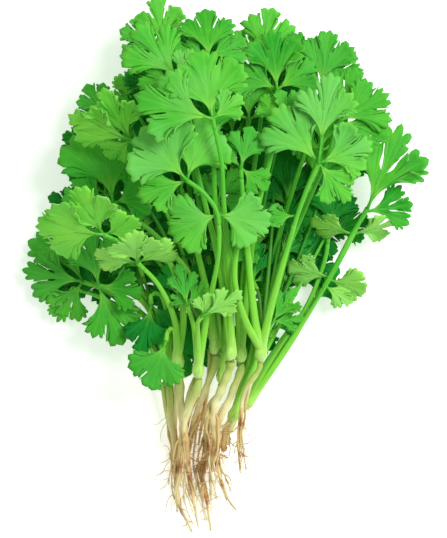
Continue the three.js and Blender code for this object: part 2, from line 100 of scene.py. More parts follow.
# %% Plants
PLANTS = [
  dict(
    crown=(-26, -55, 9), grows=98, root_wide=3, rootlets=(4, -1),
    more_roots=[[(-28.8, -54, 8), (-27.5, -66, 6), (-24.8, -82, 4), (-23.5, -100, 3)]],
    root=[(-25, -73, 7), (-23, -85, 5), (-23, -99, 4), (-22, -116, 3)],
    leaves=[
      dict(route=[(-30, -32, 13), (-37, -17, 18), (-47, -10, 21), (-59, -8, 22)], tone="mid",
        leaflets=[(352, 19, dict(lift=14)), (290, 26), (100, 24)]),
      dict(route=[(-31, -33, 8), (-38, -22, 8), (-52, -12, 9), (-67, -6, 10)], tone="mid",
        form="lobed", leaflets=[(170, 24), (118, 30), (236, 19)]),
      dict(route=[(-26, -28, 17), (-29, -13, 22), (-34, -12, 24), (-34, -17, 24)], tone="dark",
        form="small", leaflets=[(258, 20), (312, 14)]),
      dict(route=[(-33, -26, 6), (-38, -14, 4.8), (-43, -4, 1.5)], tone="dark", laid=True,
        leaflets=[(118, 27), (54, 22), (184, 22)]),
      dict(route=[(-22, -36, 5), (-15, -22, 1.5)], tone="dark", laid=True,
        leaflets=[(124, 25), (182, 17)]),
    ],
 ),
  dict(
    crown=(-21, -48, 20), grows=96, root_wide=3.1, rootlets=(3, -1),
    more_roots=[[(-22, -48, 14), (-22.5, -62, 9), (-23, -78, 6), (-20, -98, 3)]],
    root=[(-20, -69, 15), (-18, -80, 12), (-16, -99, 9), (-12, -123, 6)],
    leaves=[
      dict(route=[(-23, -24, 29), (-30, -8, 40), (-40, 3, 48)], tone="pale",
        form="broad", tilt=(97, 61), leaflets=[(97, 21), (155, 18), (40, 18)]),
      dict(route=[(-19, -20, 27), (-26, 4, 36), (-44, 11, 42), (-56, 16, 45)], tone="bright",
        look="fresh", form="broad", tilt=(80, 43), leaflets=[(178, 28), (112, 24), (25, 17)]),
      dict(route=[(-23, -29, 27), (-26, -29, 30), (-27, -34, 31)], tone="mid",
        form="broad", leaflets=[(250, 21)]),
    ],
 ),
  dict(
    crown=(-12, -52, 28), grows=88, root_wide=3.1, rootlets=(3, 1),
    more_roots=[[(-13, -52, 25), (-16, -58, 20), (-18, -70, 15), (-17, -90, 8)]],
    root=[(-18, -70, 23), (-20, -83, 20), (-21, -97, 16), (-22, -109, 12), (-15, -125, 7)],
    leaves=[
      dict(route=[(-7, -18, 39), (-3, 2, 49), (-2, 14, 54), (-3, 26, 58), (-9, 35, 60), (-17, 41, 61)],
        tone="bright",
        leaflets=[(132, 29, dict(form="broad")), (72, 27, dict(form="broad")), (200, 20),
          (200, 22, dict(back=22, form="broad")), (350, 22, dict(back=22, form="broad"))]),
      dict(route=[(-12, -29, 39), (-12, -25, 45), (-10, -22, 47)], tone="pale",
        form="small", tilt=(120, 50), leaflets=[(28, 18), (85, 12)]),
      dict(route=[(-14, -27, 35), (-17, -17, 38)], tone="pale",
        form="fine", look="mid", leaflets=[(100, 17), (50, 13), (148, 8)]),
    ],
 ),
  dict(
    crown=(-4, -41, 17), grows=92, root_wide=2.8, rootlets=(0, 1),
    more_roots=[[(-6, -38, 14), (-7, -52, 12), (-9, -66, 9), (-12, -84, 5)]],
    root=[(-9, -58, 14), (-13, -69, 11), (-16, -80, 6), (-17, -94, 4), (-16, -109, 3)],
    leaves=[
      dict(route=[(-9, -12, 21), (-28, 12, 24), (-42, 24, 26), (-52, 31, 27)], tone="dark",
        look="mid", form="broad", leaflets=[(98, 34), (174, 22), (18, 20, dict(lift=20))]),
      dict(route=[(-8, -10, 26), (-17, 22, 34), (-33, 48, 42), (-43, 60, 45)], tone="bright",
        look="fresh", tilt=(75, 42), leaflets=[(160, 27), (112, 25), (222, 16)]),
      dict(route=[(-14, -12, 17), (-28, 4, 16), (-39, 17, 16)], tone="dark",
        leaflets=[(62, 22), (124, 20), (0, 18)]),
    ],
 ),
  dict(
    crown=(-1, -55, 9), grows=85, root_wide=3.1, rootlets=(3, -1),
    root=[(-7, -67, 8), (-8, -78, 8), (-8, -87, 8), (-11, -109, 5)],
    leaves=[
      dict(route=[(-4, -14, 13), (-9, 15, 18), (-14, 45, 23), (-20, 74, 28), (-24, 86, 30)],
        tone="dark", leaflets=[(172, 21), (105, 18), (238, 16)]),
      dict(route=[(-5, -15, 9), (-12, 15, 12), (-18, 47, 16), (-25, 84, 20), (-28, 104, 22)],
        tone="bright", form="small", leaflets=[(100, 21), (158, 20), (42, 16)]),
      dict(route=[(2, -14, 14), (5, 15, 19), (8, 45, 25), (12, 70, 31)], tone="mid",
        leaflets=[(92, 22), (150, 18), (34, 18)]),
      dict(route=[(-6, -14, 7), (-14, 14, 9), (-25, 42, 10)], tone="dark",
        leaflets=[(120, 27), (58, 22), (185, 22)]),
      dict(route=[(-2, -12, 9), (-3, 24, 8.5), (-2, 46, 5), (-1, 60, 1.5)], tone="dark",
        laid=True, leaflets=[(95, 28), (30, 23), (160, 23)]),
      dict(route=[(4, -12, 7), (9, 8, 6.5), (14, 24, 9), (17, 36, 11)], tone="dark",
        leaflets=[(75, 27), (16, 18), (140, 22)]),
      dict(route=[(-3, -20, 6.5), (-5, -4, 5.8), (-6, 9, 4.5)], tone="dark", laid=True, above=3,
        leaflets=[(95, 25), (32, 22), (157, 20)]),
    ],
 ),
  dict(
    crown=(3, -44, 27), grows=85, root_wide=3.2, rootlets=(4, -1),
    root=[(-4, -64, 24), (-5, -73, 22), (-4, -83, 19), (-6, -94, 15), (-6, -110, 9)],
    leaves=[
      dict(route=[(3, -10, 38), (1, 20, 49.5), (0, 32, 55), (-1, 50, 64), (-5, 69, 67)], tone="bright",
        leaflets=[(164, 32), (100, 29, dict(form="broad")), (38, 15, dict(form="small"))]),
      dict(route=[(0, -10, 35), (-4, 12, 39), (-9, 32, 42), (-18, 70, 46), (-21, 88, 48)],
        tone="bright", leaflets=[(128, 28), (186, 16), (66, 14)]),
      dict(route=[(2, -10, 32), (-1, 12, 34), (-4, 32, 36), (-5, 75, 41), (-7, 98, 45)],
        tone="mid", tilt=(270, 25), leaflets=[(92, 23), (155, 15), (33, 18)]),
    ],
 ),
  dict(
    crown=(8, -45, 17), grows=88, root_wide=2.8, rootlets=(4, 1),
    root=[(3, -61, 16), (-2, -72, 15), (-4, -80, 13), (-3, -94, 9), (2, -109, 5), (6, -115, 4)],
    leaves=[
      dict(route=[(11, -12, 23), (14, 15, 28), (18, 37, 32), (24, 65, 35), (25, 84, 37)],
        tone="mid", leaflets=[(94, 25), (150, 20), (36, 20)]),
      dict(route=[(9, -12, 20), (11, 15, 22), (13, 37, 24), (18, 75, 24.5), (18, 97, 25.5)],
        tone="bright", form="small", leaflets=[(79, 24), (130, 17), (25, 17)]),
      dict(route=[(6, -12, 22), (2, 12, 26), (-3, 32, 30)], tone="mid",
        form="small", leaflets=[(60, 15), (122, 13), (0, 13)]),
    ],
 ),
  dict(
    crown=(17, -44, 27), grows=82, root_wide=2.1, rootlets=(6, 1),
    root=[(11, -56, 24), (9, -62, 22), (8, -73, 19), (7, -80, 16), (8, -97, 12)],
    leaves=[
      dict(route=[(23, -14, 36), (28, 4, 43), (36, 30, 52), (44, 49, 57)], tone="bright", thick=1.08,
        leaflets=[(83, 28, dict(neck=13)), (128, 30), (20, 23), (310, 19),
          (182, 13, dict(back=27, twist=45, form="small"))]),
      dict(route=[(11, -26, 35), (5.5, -8, 44), (6, 8, 46), (9, 18, 47), (9, 32, 49), (8, 47, 51)],
        tone="mid", form="small", leaflets=[(75, 17), (130, 17), (322, 14)]),
      dict(route=[(15, -26, 32), (12, 0, 38), (11.5, 16, 40), (18, 37, 43), (26, 68, 46)],
        tone="mid", form="small", thick=1.1, leaflets=[(60, 15), (122, 13), (0, 13)]),
    ],
 ),
  dict(
    crown=(3, -73, 10), grows=65, root_wide=3, rootlets=(0, 1), blunt=True,
    root=[(1, -79, 10), (0, -87, 10)],
    leaves=[
      dict(route=[(13, -44, 10), (18, -15, 14), (31, 32, 22), (40, 60, 28), (46, 85, 32)],
        tone="mid", leaflets=[(83, 24), (120, 25), (50, 21)]),
      dict(route=[(15, -44, 12.5), (20, -15, 19), (36, 23, 28), (48, 51, 35), (54, 69, 39)],
        tone="mid", leaflets=[(28, 24), (72, 23), (346, 21)]),
      dict(route=[(17, -38, 8), (25, -18, 7.5), (36, 3, 7)], tone="dark",
        form="small", leaflets=[(50, 20), (110, 17), (350, 17)]),
      dict(route=[(17, -40, 15), (20, -32, 20), (23, -25, 24)], tone="pale",
        form="fine", look="mid", leaflets=[(55, 17), (105, 13), (8, 13)]),
      dict(route=[(16, -42, 6), (26, -12, 5.5), (36, 23, 1.5)], tone="dark", laid=True,
        leaflets=[(50, 28), (346, 22), (112, 22)]),
      dict(route=[(10, -48, 5), (11, -30, 3), (12, -15, 1.5)], tone="dark", laid=True,
        leaflets=[(86, 26), (24, 20), (150, 16)]),
    ],
 ),
  dict(
    crown=(9, -67, 4), grows=50, root_wide=2.4, rootlets=(3, 1),
    root=[(1, -80, 3), (-6, -89, 2.5), (-11, -94, 2.3), (-10, -103, 2.1), (-8, -111, 1.8), (-6, -125, 1)],
    leaves=[
      dict(route=[(30, -38, 8), (38, -25, 11), (49, -6, 15), (60, 15, 21), (68, 29, 26)],
        tone="mid", form="small",
        leaflets=[(66, 35, dict(form="lobed")), (12, 19, dict(back=15, twist=66, look="pale")),
          (165, 18, dict(back=15, twist=-50, look="pale")),
          (342, 17, dict(back=40, twist=42, form="broad", look="pale")),
          (165, 18, dict(back=39, twist=-25, look="pale"))]),
      dict(route=[(20, -48, 6), (27, -37, 7), (40, -17, 10.5), (48, 4, 11), (50, 17, 11.5)], tone="dark",
        leaflets=[(80, 22), (130, 16), (20, 18)]),
    ],
 ),
]
print(len(PLANTS), "plants with", sum(len(plant["leaves"]) for plant in PLANTS), "leaves")

# %% [markdown]
# ## The leaves in between
# A real bunch also has many smaller leaves between the big ones. They could be scattered
# by chance, but they are there to close certain gaps, so they are written down as well.
# Each is the number of the plant that it grows on, the place where its leaflets meet, its
# tone, its form, and the headings and lengths of its leaflets.

# %% More leaves
# Most are in the dark tone: dark leaves set into the gaps paint the shade that lies there
MORE = [
  (1, (-40, 1, 10), "dark", "small", [(95, 18), (160, 15), (30, 15)]),
  (1, (-70, -4, 4), "dark", "small", [(200, 15), (140, 13)]),
  (1, (-72, -9, 7), "mid", "lobed", [(228, 14)]),
  (1, (-38, -10, 6), "dark", "cover", [(110, 20)]),
  (1, (-62, -12, 3.5), "dark", "cover", [(140, 17)]),
  (1, (-18, -24, 5), "dark", "cover", [(265, 23)]),
  (2, (-21, -14, 20), "dark", "small", [(110, 15), (170, 12)]),
  (4, (-56, 36, 12), "dark", "small", [(90, 17), (150, 17), (200, 16)]),
  (4, (-68, 27, 12), "dark", "small", [(150, 14), (215, 12)]),
  (4, (-50, 30, 7), "dark", "cover", [(115, 19)]),
  (4, (-62, 56, 16), "dark", "lobed", [(150, 14), (100, 15)]),
  (4, (-56, 72, 18), "mid", "small", [(120, 16), (175, 13)]),
  (5, (-20, 38, 22), "dark", "small", [(80, 20), (150, 17)]),
  (5, (-44, 66, 14), "dark", "small", [(70, 19), (130, 18)]),
  (5, (-43, 78, 18), "bright", "lobed", [(95, 15), (150, 10)]),
  (5, (-9, -24, 4), "dark", "small", [(267, 20)]),
  (5, (-10, 62, 12), "dark", "small", [(60, 20), (120, 18)]),
  (6, (-8, 98, 26), "dark", "small", [(60, 16), (120, 16)]),
  (7, (4, 64, 16), "dark", "small", [(90, 18), (30, 18)]),
  (7, (26, 84, 22), "dark", "small", [(60, 17), (120, 17), (180, 15)]),
  (7, (30, 74, 20), "dark", "cover", [(90, 19)]),
  (7, (16, 10, 14), "dark", "small", [(70, 19), (10, 15), (130, 15)]),
  (8, (45, 46, 14), "dark", "cover", [(95, 22)]),
  (8, (46, 56, 26), "mid", "small", [(80, 19), (20, 17), (150, 15)]),
  (8, (28, 8, 12), "dark", "fine", [(80, 16), (140, 12), (20, 13)]),
  (9, (60, 36, 8), "mid", "small", [(95, 16)]),
  (9, (24, -28, 12), "dark", "fine", [(70, 15), (10, 11)]),
  (9, (30, -8, 9), "dark", "fine", [(95, 15), (40, 12)]),
  (10, (48, -8, 12), "pale", "small", [(330, 13)]),
  (2, (-13, -12, 23), "dark", "small", [(60, 14), (120, 14)]),
  (3, (-20, -12, 14), "dark", "small", [(80, 15), (140, 14)]),
  (4, (-14, -2, 18), "dark", "small", [(90, 18), (30, 14), (150, 16)]),
  (1, (-19, -20, 6), "dark", "fine", [(70, 15), (120, 13)]),
  (6, (4, 2, 24), "mid", "small", [(100, 15), (40, 14)]),
  (8, (14, -6, 20), "dark", "small", [(80, 16), (20, 13)]),
  (7, (4, 50, 10), "dark", "cover", [(98, 24)]),
  (5, (-14, 27, 13), "dark", "cover", [(115, 25), (60, 16)]),
  (4, (-26, 8, 11), "dark", "cover", [(122, 22)]),
  (8, (30, 30, 12), "dark", "cover", [(80, 25), (130, 18)]),
  (5, (-33, 56, 10), "dark", "cover", [(114, 23)]),
  (8, (42, 40, 17), "mid", "cover", [(70, 24)]),
  (1, (-30, -9, 5), "dark", "cover", [(132, 18)]),
  (1, (-58, -8, 6), "dark", "cover", [(165, 16)]),
  (10, (67, 27, 23), "mid", "lobed", [(10, 20)]),
  (9, (44, -14, 6), "dark", "small", [(30, 13), (80, 14)]),
  (7, (26, 72, 16), "dark", "cover", [(75, 22)]),
  (6, (-8, 84, 19), "dark", "cover", [(97, 22)]),
  (5, (-32, 92, 11), "dark", "cover", [(104, 20)]),
  (9, (50, 44, 9), "dark", "cover", [(52, 24)]),
  (8, (24, 44, 6), "dark", "cover", [(75, 26)]),
  (7, (6, 28, 5), "dark", "cover", [(75, 26)]),
  (8, (26, 14, 6), "dark", "cover", [(70, 25)]),
  (8, (24, -4, 7), "dark", "cover", [(72, 22)]),
  (5, (-8, -8, 3), "dark", "cover", [(75, 24)]),
  (7, (12, -16, 6), "dark", "cover", [(82, 21)]),
  (5, (-14, -14, 8), "dark", "cover", [(265, 24)]),
  (7, (12, -18, 5), "dark", "cover", [(268, 24)]),
]
print(len(MORE), "smaller leaves")

# %% [markdown]
# ## Blanks
# Two blanks are made once: a flat grid for a leaflet and a ringed cylinder for a stalk or
# a root. Each leaflet and each stalk is a copy of one of them, moved into its shape. Every
# leaflet could have a grid of its own from the start, but making one is slow, and there are
# some hundreds of them with only a few different counts of teeth.

# %% Reading and keeping meshes
def places_of(mesh):
    """The places of a mesh's points, as rows of three numbers."""
    places = np.empty(len(mesh.vertices) * 3)
    mesh.vertices.foreach_get("co", places)
    return places.reshape(-1, 3)


def only_mesh(piece):
    """The mesh of a new piece, which itself goes away."""
    mesh = piece.data
    bpy.data.objects.remove(piece)
    return mesh


# %% The flat grid
def sheet_blank(columns, rows):
    """A flat grid, 1 by 1."""
    bpy.ops.mesh.primitive_grid_add(x_subdivisions=columns, y_subdivisions=rows, size=1)
    return only_mesh(bpy.context.object)


print("a grid of 4 by 2 cells has", len(places_of(sheet_blank(4, 2))), "points")

# %% The ringed cylinder
def tube_blank(rings, sides):
    """A closed cylinder, 1 high, with its side cut into rings."""
    bpy.ops.mesh.primitive_cylinder_add(vertices=sides, radius=1, depth=1, end_fill_type="TRIFAN")
    tube = bpy.context.object
    bpy.ops.object.mode_set(mode="EDIT")
    bpy.ops.mesh.select_mode(type="EDGE")
    bpy.ops.mesh.select_all(action="DESELECT")
    bpy.ops.object.mode_set(mode="OBJECT")
    for edge in tube.data.edges:
        low, high = (tube.data.vertices[k].co for k in edge.vertices)
        edge.select = abs(high.z - low.z) > 0.5
    bpy.ops.object.mode_set(mode="EDIT")
    bpy.ops.mesh.subdivide(number_cuts=rings - 1)
    bpy.ops.object.mode_set(mode="OBJECT")
    return only_mesh(tube)


print("a cylinder of 4 rings and 12 sides has", len(places_of(tube_blank(4, 12))), "points")

# %% One blank of each size
blanks = {}


def blank(make, *size):
    """A blank of this size, made the first time that it is asked for."""
    if (make, size) not in blanks:
        blanks[make, size] = make(*size)
    return blanks[make, size]


print("a small leaflet is a grid of", len(places_of(blank(sheet_blank, 60, 9))), "points")

# %% [markdown]
# ## Copies of the blanks
# A copy gets its new places in one go, and marks on its points, which the finishes read
# later: how far a point is from its vein, or how far along the stalk it lies. The marks
# could be painted by hand on the finished shape. Here they come from the same numbers as
# the shape, so that they always fit it. Pieces of one leaf are joined into one object.

# %% Copies
def copied(mesh, name, places, **marks):
    """A copy of a blank with its points moved to places (in mm), and marks on its points."""
    mesh = mesh.copy()
    mesh.vertices.foreach_set("co", ((places - np.array(MIDDLE)) * MM).ravel())
    for mark, values in marks.items():
        kind, field = ("FLOAT_VECTOR", "vector") if values.ndim == 2 else ("FLOAT", "value")
        mesh.attributes.new(mark, kind, "POINT").data.foreach_set(field, values.ravel())
    mesh.update()
    piece = bpy.data.objects.new(name, mesh)
    bpy.context.scene.collection.objects.link(piece)
    return piece


def alone(*pieces):
    """Makes these pieces the only selected ones, and the first of them the active one."""
    bpy.ops.object.select_all(action="DESELECT")
    for piece in pieces:
        piece.select_set(True)
    bpy.context.view_layer.objects.active = pieces[0]


def join(pieces, name):
    """Joins pieces into the first of them."""
    alone(*pieces)
    if len(pieces) > 1:
        bpy.ops.object.join()
    pieces[0].name = name
    return pieces[0]


print("points go from millimetres about", tuple(MIDDLE), "to metres about 0")

# %% [markdown]
# ## Routes
# A stalk leaves the crown, bends and ends where its leaflets meet. That's a smooth curve
# through a few points of the table. It could be a curve object with a bevel, but then the
# radius couldn't change around the stalk, for its groove and its ribs. So the curve is
# computed: it's asked for a place and a direction at any distance from its start.

# %% Routes
REACH = 0.4  # the direction at a place goes from this far before it to this far after it


class Route:
    """A smooth curve through points, that is asked for places by distance from its start."""

    def __init__(self, points, steps=60):
        points = [np.array(p, float) for p in points]
        chain = [2 * points[0] - points[1], *points, 2 * points[-1] - points[-2]]
        t = np.linspace(0, 1, steps, endpoint=False)[:, None]
        curves = [0.5 * (2 * b + (c - a) * t + (2 * a - 5 * b + 4 * c - d) * t ** 2
                         + (3 * b - a - 3 * c + d) * t ** 3)
                  for a, b, c, d in zip(chain, chain[1:], chain[2:], chain[3:])]
        self.places = np.concatenate([*curves, [points[-1]]])
        steps_long = np.linalg.norm(np.diff(self.places, axis=0), axis=1)
        self.far = np.concatenate([[0], np.cumsum(steps_long)])
        self.length = self.far[-1]

    def between(self, far):
        """Places at distances that lie on the curve."""
        return np.stack([np.interp(far, self.far, line) for line in self.places.T], axis=1)

    def at(self, far):
        """Places at distances, going straight on past either end."""
        far = np.atleast_1d(np.asarray(far, float))
        inside = np.clip(far, 0, self.length)
        return self.between(inside) + (far - inside)[:, None] * self.way(inside)

    def way(self, far):
        """Directions at distances."""
        far = np.clip(np.atleast_1d(np.asarray(far, float)), 0, self.length)
        ahead = self.between(np.minimum(far + REACH, self.length))
        step = ahead - self.between(np.maximum(far - REACH, 0))
        return step / np.linalg.norm(step, axis=1)[:, None]


print("the first stalk is", round(Route(PLANTS[0]["leaves"][0]["route"]).length), "mm long")

# %% [markdown]
# ## Tubes
# A stalk, a root and a vein are the same thing in three sizes: a round blank that is bent
# along a route, with a radius that may change along it and around it. A Curve modifier
# could bend it too, but computed points can also be kept above the table.

# %% Tubes
FLOOR = 0.02  # how far above the table the lowest points of a tube may lie


def tube(name, route, start, end, radius_at, sides=16, step=2.0, shift=0.0):
    """A tube along a route: a blank bent along it, with its radius at each distance."""
    rings = max(3, round((end - start) / step))
    mesh = blank(tube_blank, rings, sides)
    places = places_of(mesh)
    far = start + (end - start) * (places[:, 2] + 0.5)
    angle = np.arctan2(places[:, 1], places[:, 0])
    out = np.hypot(places[:, 0], places[:, 1]) * radius_at(far, angle)
    right, up = (out * np.cos(angle))[:, None], (out * np.sin(angle))[:, None]
    tangent = route.way(far)
    across = np.cross([0, 0, 1], tangent)
    across /= np.linalg.norm(across, axis=1)[:, None]
    placed = route.at(far) + across * right + np.cross(tangent, across) * up
    placed[:, 2] = np.maximum(placed[:, 2], FLOOR)
    return copied(mesh, name, placed, straight=np.hstack([right, up, (far + shift)[:, None]]))


print("a tube's blank has", len(places_of(blank(tube_blank, 8, 12))), "points when it's short")

# %% [markdown]
# ## Values in place of chance
# No two leaflets are the same, but the bunch has to come out the same each time. A seeded
# generator could see to that, but then one more leaflet would change all those after it.
# Steps of the golden ratio spread evenly and never repeat, and each can be asked for alone.

# %% Values in place of chance
GOLDEN = (math.sqrt(5) - 1) / 2


def vary(n):
    """Values from -1 to 1 by steps of the golden ratio, in place of chance."""
    return 2 * ((n * GOLDEN) % 1) - 1


print("the first ones:", [round(vary(n), 2) for n in range(6)])

# %% [markdown]
# ## The forms of leaflets
# A coriander leaflet is a fan on a thin neck. Three lobes part from each other at deep,
# narrow slits, and each lobe is toothed. Low leaves are broad and hardly parted, and the
# higher a leaf grew the finer it's cut. Every leaflet could be drawn, but a few numbers for
# each form give hundreds that are alike and never the same: the side lobes' turn and
# length, the lobes' half widths, the foot of the slits, where the outer edge begins, how
# many teeth a lobe has, their depth and how blunt they are, how far the slits gape, and how
# many columns of the grid there are in a tooth.

# %% Forms
COLUMNS = ("turn", "side", "wide", "slit", "shoulder", "teeth", "depth", "blunt", "open", "fine")
FORMS = {name: dict(zip(COLUMNS, values)) for name, *values in [
    ("broad", 52, 0.70, (0.27, 0.26), (0.44, 27), (0.24, 0.20), 7, 0.092, 1.8, 0.006, 4),
    ("fan", 43, 0.67, (0.235, 0.225), (0.28, 23), (0.27, 0.17), 7, 0.110, 1.8, 0.008, 4),
    ("lobed", 39, 0.70, (0.225, 0.225), (0.11, 24), (0.27, 0.16), 7, 0.125, 2.6, 0.030, 6),
    ("small", 45, 0.66, (0.23, 0.22), (0.30, 23), (0.27, 0.16), 5, 0.105, 1.8, 0.008, 4),
    ("cover", 50, 0.69, (0.27, 0.26), (0.36, 26), (0.24, 0.20), 5, 0.095, 1.8, 0.006, 4),
    ("fine", 40, 0.62, (0.17, 0.16), (0.12, 20), (0.30, 0.12), 5, 0.100, 1.8, 0.012, 4),
]}
print("forms:", ", ".join(FORMS))

# %% [markdown]
# ## Lobes
# A leaflet could be cut out of a flat sheet, but then its veins wouldn't follow the teeth.
# So a grid is bent into it instead: every column of the grid runs from the neck to one
# place on the rim, as the veins do, and every row crosses it. First comes the smooth edge
# of each lobe, which goes by tau from -1 at its right end to 1 at its left end.

# %% Slits
HUB = 0.30  # where the middle lobe begins on the leaflet's axis, as a share of its length


def toward(degrees):
    """A step of length 1, so many degrees to the left of the leaflet's axis."""
    turn = math.radians(degrees)
    return np.array([math.cos(turn), math.sin(turn)])


def slit_of(form, to, phase):
    """The foot and the direction of the slit on one side (to is -1 or 1) of the middle lobe."""
    reach, way = form["slit"]
    foot = np.array([HUB, 0.0]) + reach * (1 + 0.22 * vary(0.7 * phase + 1.9 * to)) * toward(way * to)
    return foot, toward((form["turn"] * 0.5 + 3.0 * vary(1.3 * phase + to)) * to)


print("a fan's slit begins at", slit_of(FORMS["fan"], 1, 0)[0].round(2), "of its length")

# %% Lobes
BACK = 0.07  # how much earlier than the middle lobe the side lobes leave the axis


def lobe_of(form, side, luck, phase):
    """One lobe of a leaflet of length 1: side is -1 for the right one, 0 or 1."""
    axis = toward(form["turn"] * side + 3.5 * vary(1.7 * luck))
    left = np.array([-axis[1], axis[0]])
    hub = np.array([HUB - BACK * abs(side), 0.0])
    ends, slits = [], []
    for half in (-1, 1):
        if side * half > 0:
            ends.append(form["shoulder"])
        else:
            foot, way = slit_of(form, side or half, phase)
            ends.append(((foot - hub) @ axis, abs((foot - hub) @ left)))
            slits.append((foot, way, half))
    return dict(axis=axis, left=left, hub=hub, ends=np.array(ends), side=side, slits=slits,
                open=form["open"],
                long=(form["side"] if side else 1 - HUB) * (1 + 0.08 * vary(2.3 * luck)),
                wide=form["wide"][abs(side)] * (1 + 0.10 * vary(0.9 * luck)))


def on_lobe(lobe, along, across):
    """Places on the leaflet, from how far along and across a lobe they are."""
    return lobe["hub"] + np.outer(along, lobe["axis"]) + np.outer(across, lobe["left"])


def smooth_edge(lobe, tau):
    """Places on the lobe's edge before it is toothed."""
    far = np.abs(tau)
    low, off = np.where(tau[:, None] < 0, lobe["ends"][0], lobe["ends"][1]).T
    across = np.sign(tau) * (lobe["wide"] * np.sin(math.pi * far) ** 1.2 + off * far ** 2.6)
    return on_lobe(lobe, low + (lobe["long"] - low) * (1 - far ** 2), across)


print("a fan's middle lobe is", round(lobe_of(FORMS["fan"], 0, 0, 0)["long"], 2), "of its length")

# %% Open slits
SLIT_GAP = 0.007  # how far a lobe stays from the middle line of a slit
SLIT_FOOT = 0.03  # how far up a slit it has that gap
SLIT_LONG = 0.22  # how far up a slit that gapes is closed again


def kept_apart(lobe, places, tau):
    """Moves a lobe's inner edges off the slits' middle lines, so that the slits stay open."""
    places = places.copy()
    for foot, way, half in lobe["slits"]:
        across = -half * np.array([-way[1], way[0]])
        up, off = (places - foot) @ way, (places - foot) @ across
        gape = lobe["open"] * np.sin(math.pi * np.clip(up / SLIT_LONG, 0, 1))
        gap = SLIT_GAP * np.clip(up / SLIT_FOOT, 0, 1) + gape
        push = np.where((tau * half > 0) & (up > 0), np.maximum(gap - off, 0), 0)
        places += np.outer(push, across)
    return places


print("lobes stay", 2 * SLIT_GAP, "of the leaflet's length apart")

# %% [markdown]
# ## Teeth
# Teeth stand out at right angles to the edge. Two notches are deeper than the others and
# part each lobe once more in three, as on a real leaf. The teeth could be a sine wave along
# the edge, but that makes a cog wheel; here each has its own width, depth and lean.

# %% Teeth
PARTED = 1.25  # how much deeper the two notches are that part a lobe in three
CREST = 0.8  # how far the middle of each of those three parts stands out
SUNK = 0.35  # how far the whole edge is set back for it
FORWARD = 0.45  # how much the teeth point along the lobe
LEAN = 0.18  # how much a tooth's tip is off its middle
AHEAD = 0.004  # how far before and after a place its edge's direction is measured


def teeth_of(lobe, form, luck):
    """How far the teeth stand out of the lobe's edge, with tau and the tooth of each place."""
    count, fine = form["teeth"], form["fine"]
    number = np.arange(count)
    widths = 1.25 + 0.30 * vary(luck + 1.3 * number) - 0.25 * np.abs(2 * (number + 0.5) / count - 1)
    cuts = 2 * np.concatenate([[0], np.cumsum(widths)]) / widths.sum() - 1
    tooth = np.repeat(number, fine)
    within = np.tile(-np.cos(math.pi * np.arange(fine) / fine), count)
    if lobe["side"] == 1:
        tooth = np.append(tooth, count - 1)
        within = np.append(within, 1.0)
    tau = cuts[tooth] + (cuts[tooth + 1] - cuts[tooth]) * (within + 1) / 2

    step = smooth_edge(lobe, np.minimum(tau + AHEAD, 1)) - smooth_edge(lobe, np.maximum(tau - AHEAD, -1))
    step /= np.linalg.norm(step, axis=1)[:, None]
    out = np.stack([step[:, 1], -step[:, 0]], axis=1)
    out += FORWARD * np.outer(np.abs(np.sin(math.pi / 2 * tau)), lobe["axis"])
    out /= np.linalg.norm(out, axis=1)[:, None]

    third = count // 3
    parts = cuts[[0, third, count - third, count]]
    part = np.clip(np.searchsorted(parts, tau, side="right") - 1, 0, 2)
    crest = 1 - (2 * (tau - parts[part]) / (parts[part + 1] - parts[part]) - 1) ** 2
    depths = 0.8 + 0.35 * vary(2.9 * luck + 1.7 * np.arange(count + 1))
    depths[[third, count - third]] = PARTED
    lean = within + LEAN * (1 - within ** 2) * np.sign(tau)
    notch = np.abs(lean) ** form["blunt"] * depths[tooth + (within > 0)]
    inner = lobe["side"] * tau <= 0
    fade = np.where(inner, 1 - 0.95 * np.abs(tau) ** 1.7, 1 - 0.5 * np.abs(tau) ** 6)
    uneven = 1 + 0.2 * vary(1.1 * luck + 2.7 * tooth)
    return out * (form["depth"] * uneven * (CREST * crest - SUNK - notch) * fade)[:, None], tau, tooth


print("notches between parts are", PARTED, "times as deep")

# %% [markdown]
# ## The grid of a leaflet
# Each column is a curve from the neck through a branching place to the rim. Straight
# columns would be simpler, but they would cut across the slits. These leave a lobe's main
# vein one after the other, like the side veins of the real leaf.

# %% The grid of a leaflet
ALONG = 9  # rows from the neck to the rim
SHARE = np.linspace(0, 1, ALONG + 1)[None, :]  # how far each row is on its way there
NECK_AT, NECK_WIDE = 0.17, 0.060  # where the neck begins to widen, and how wide it is there


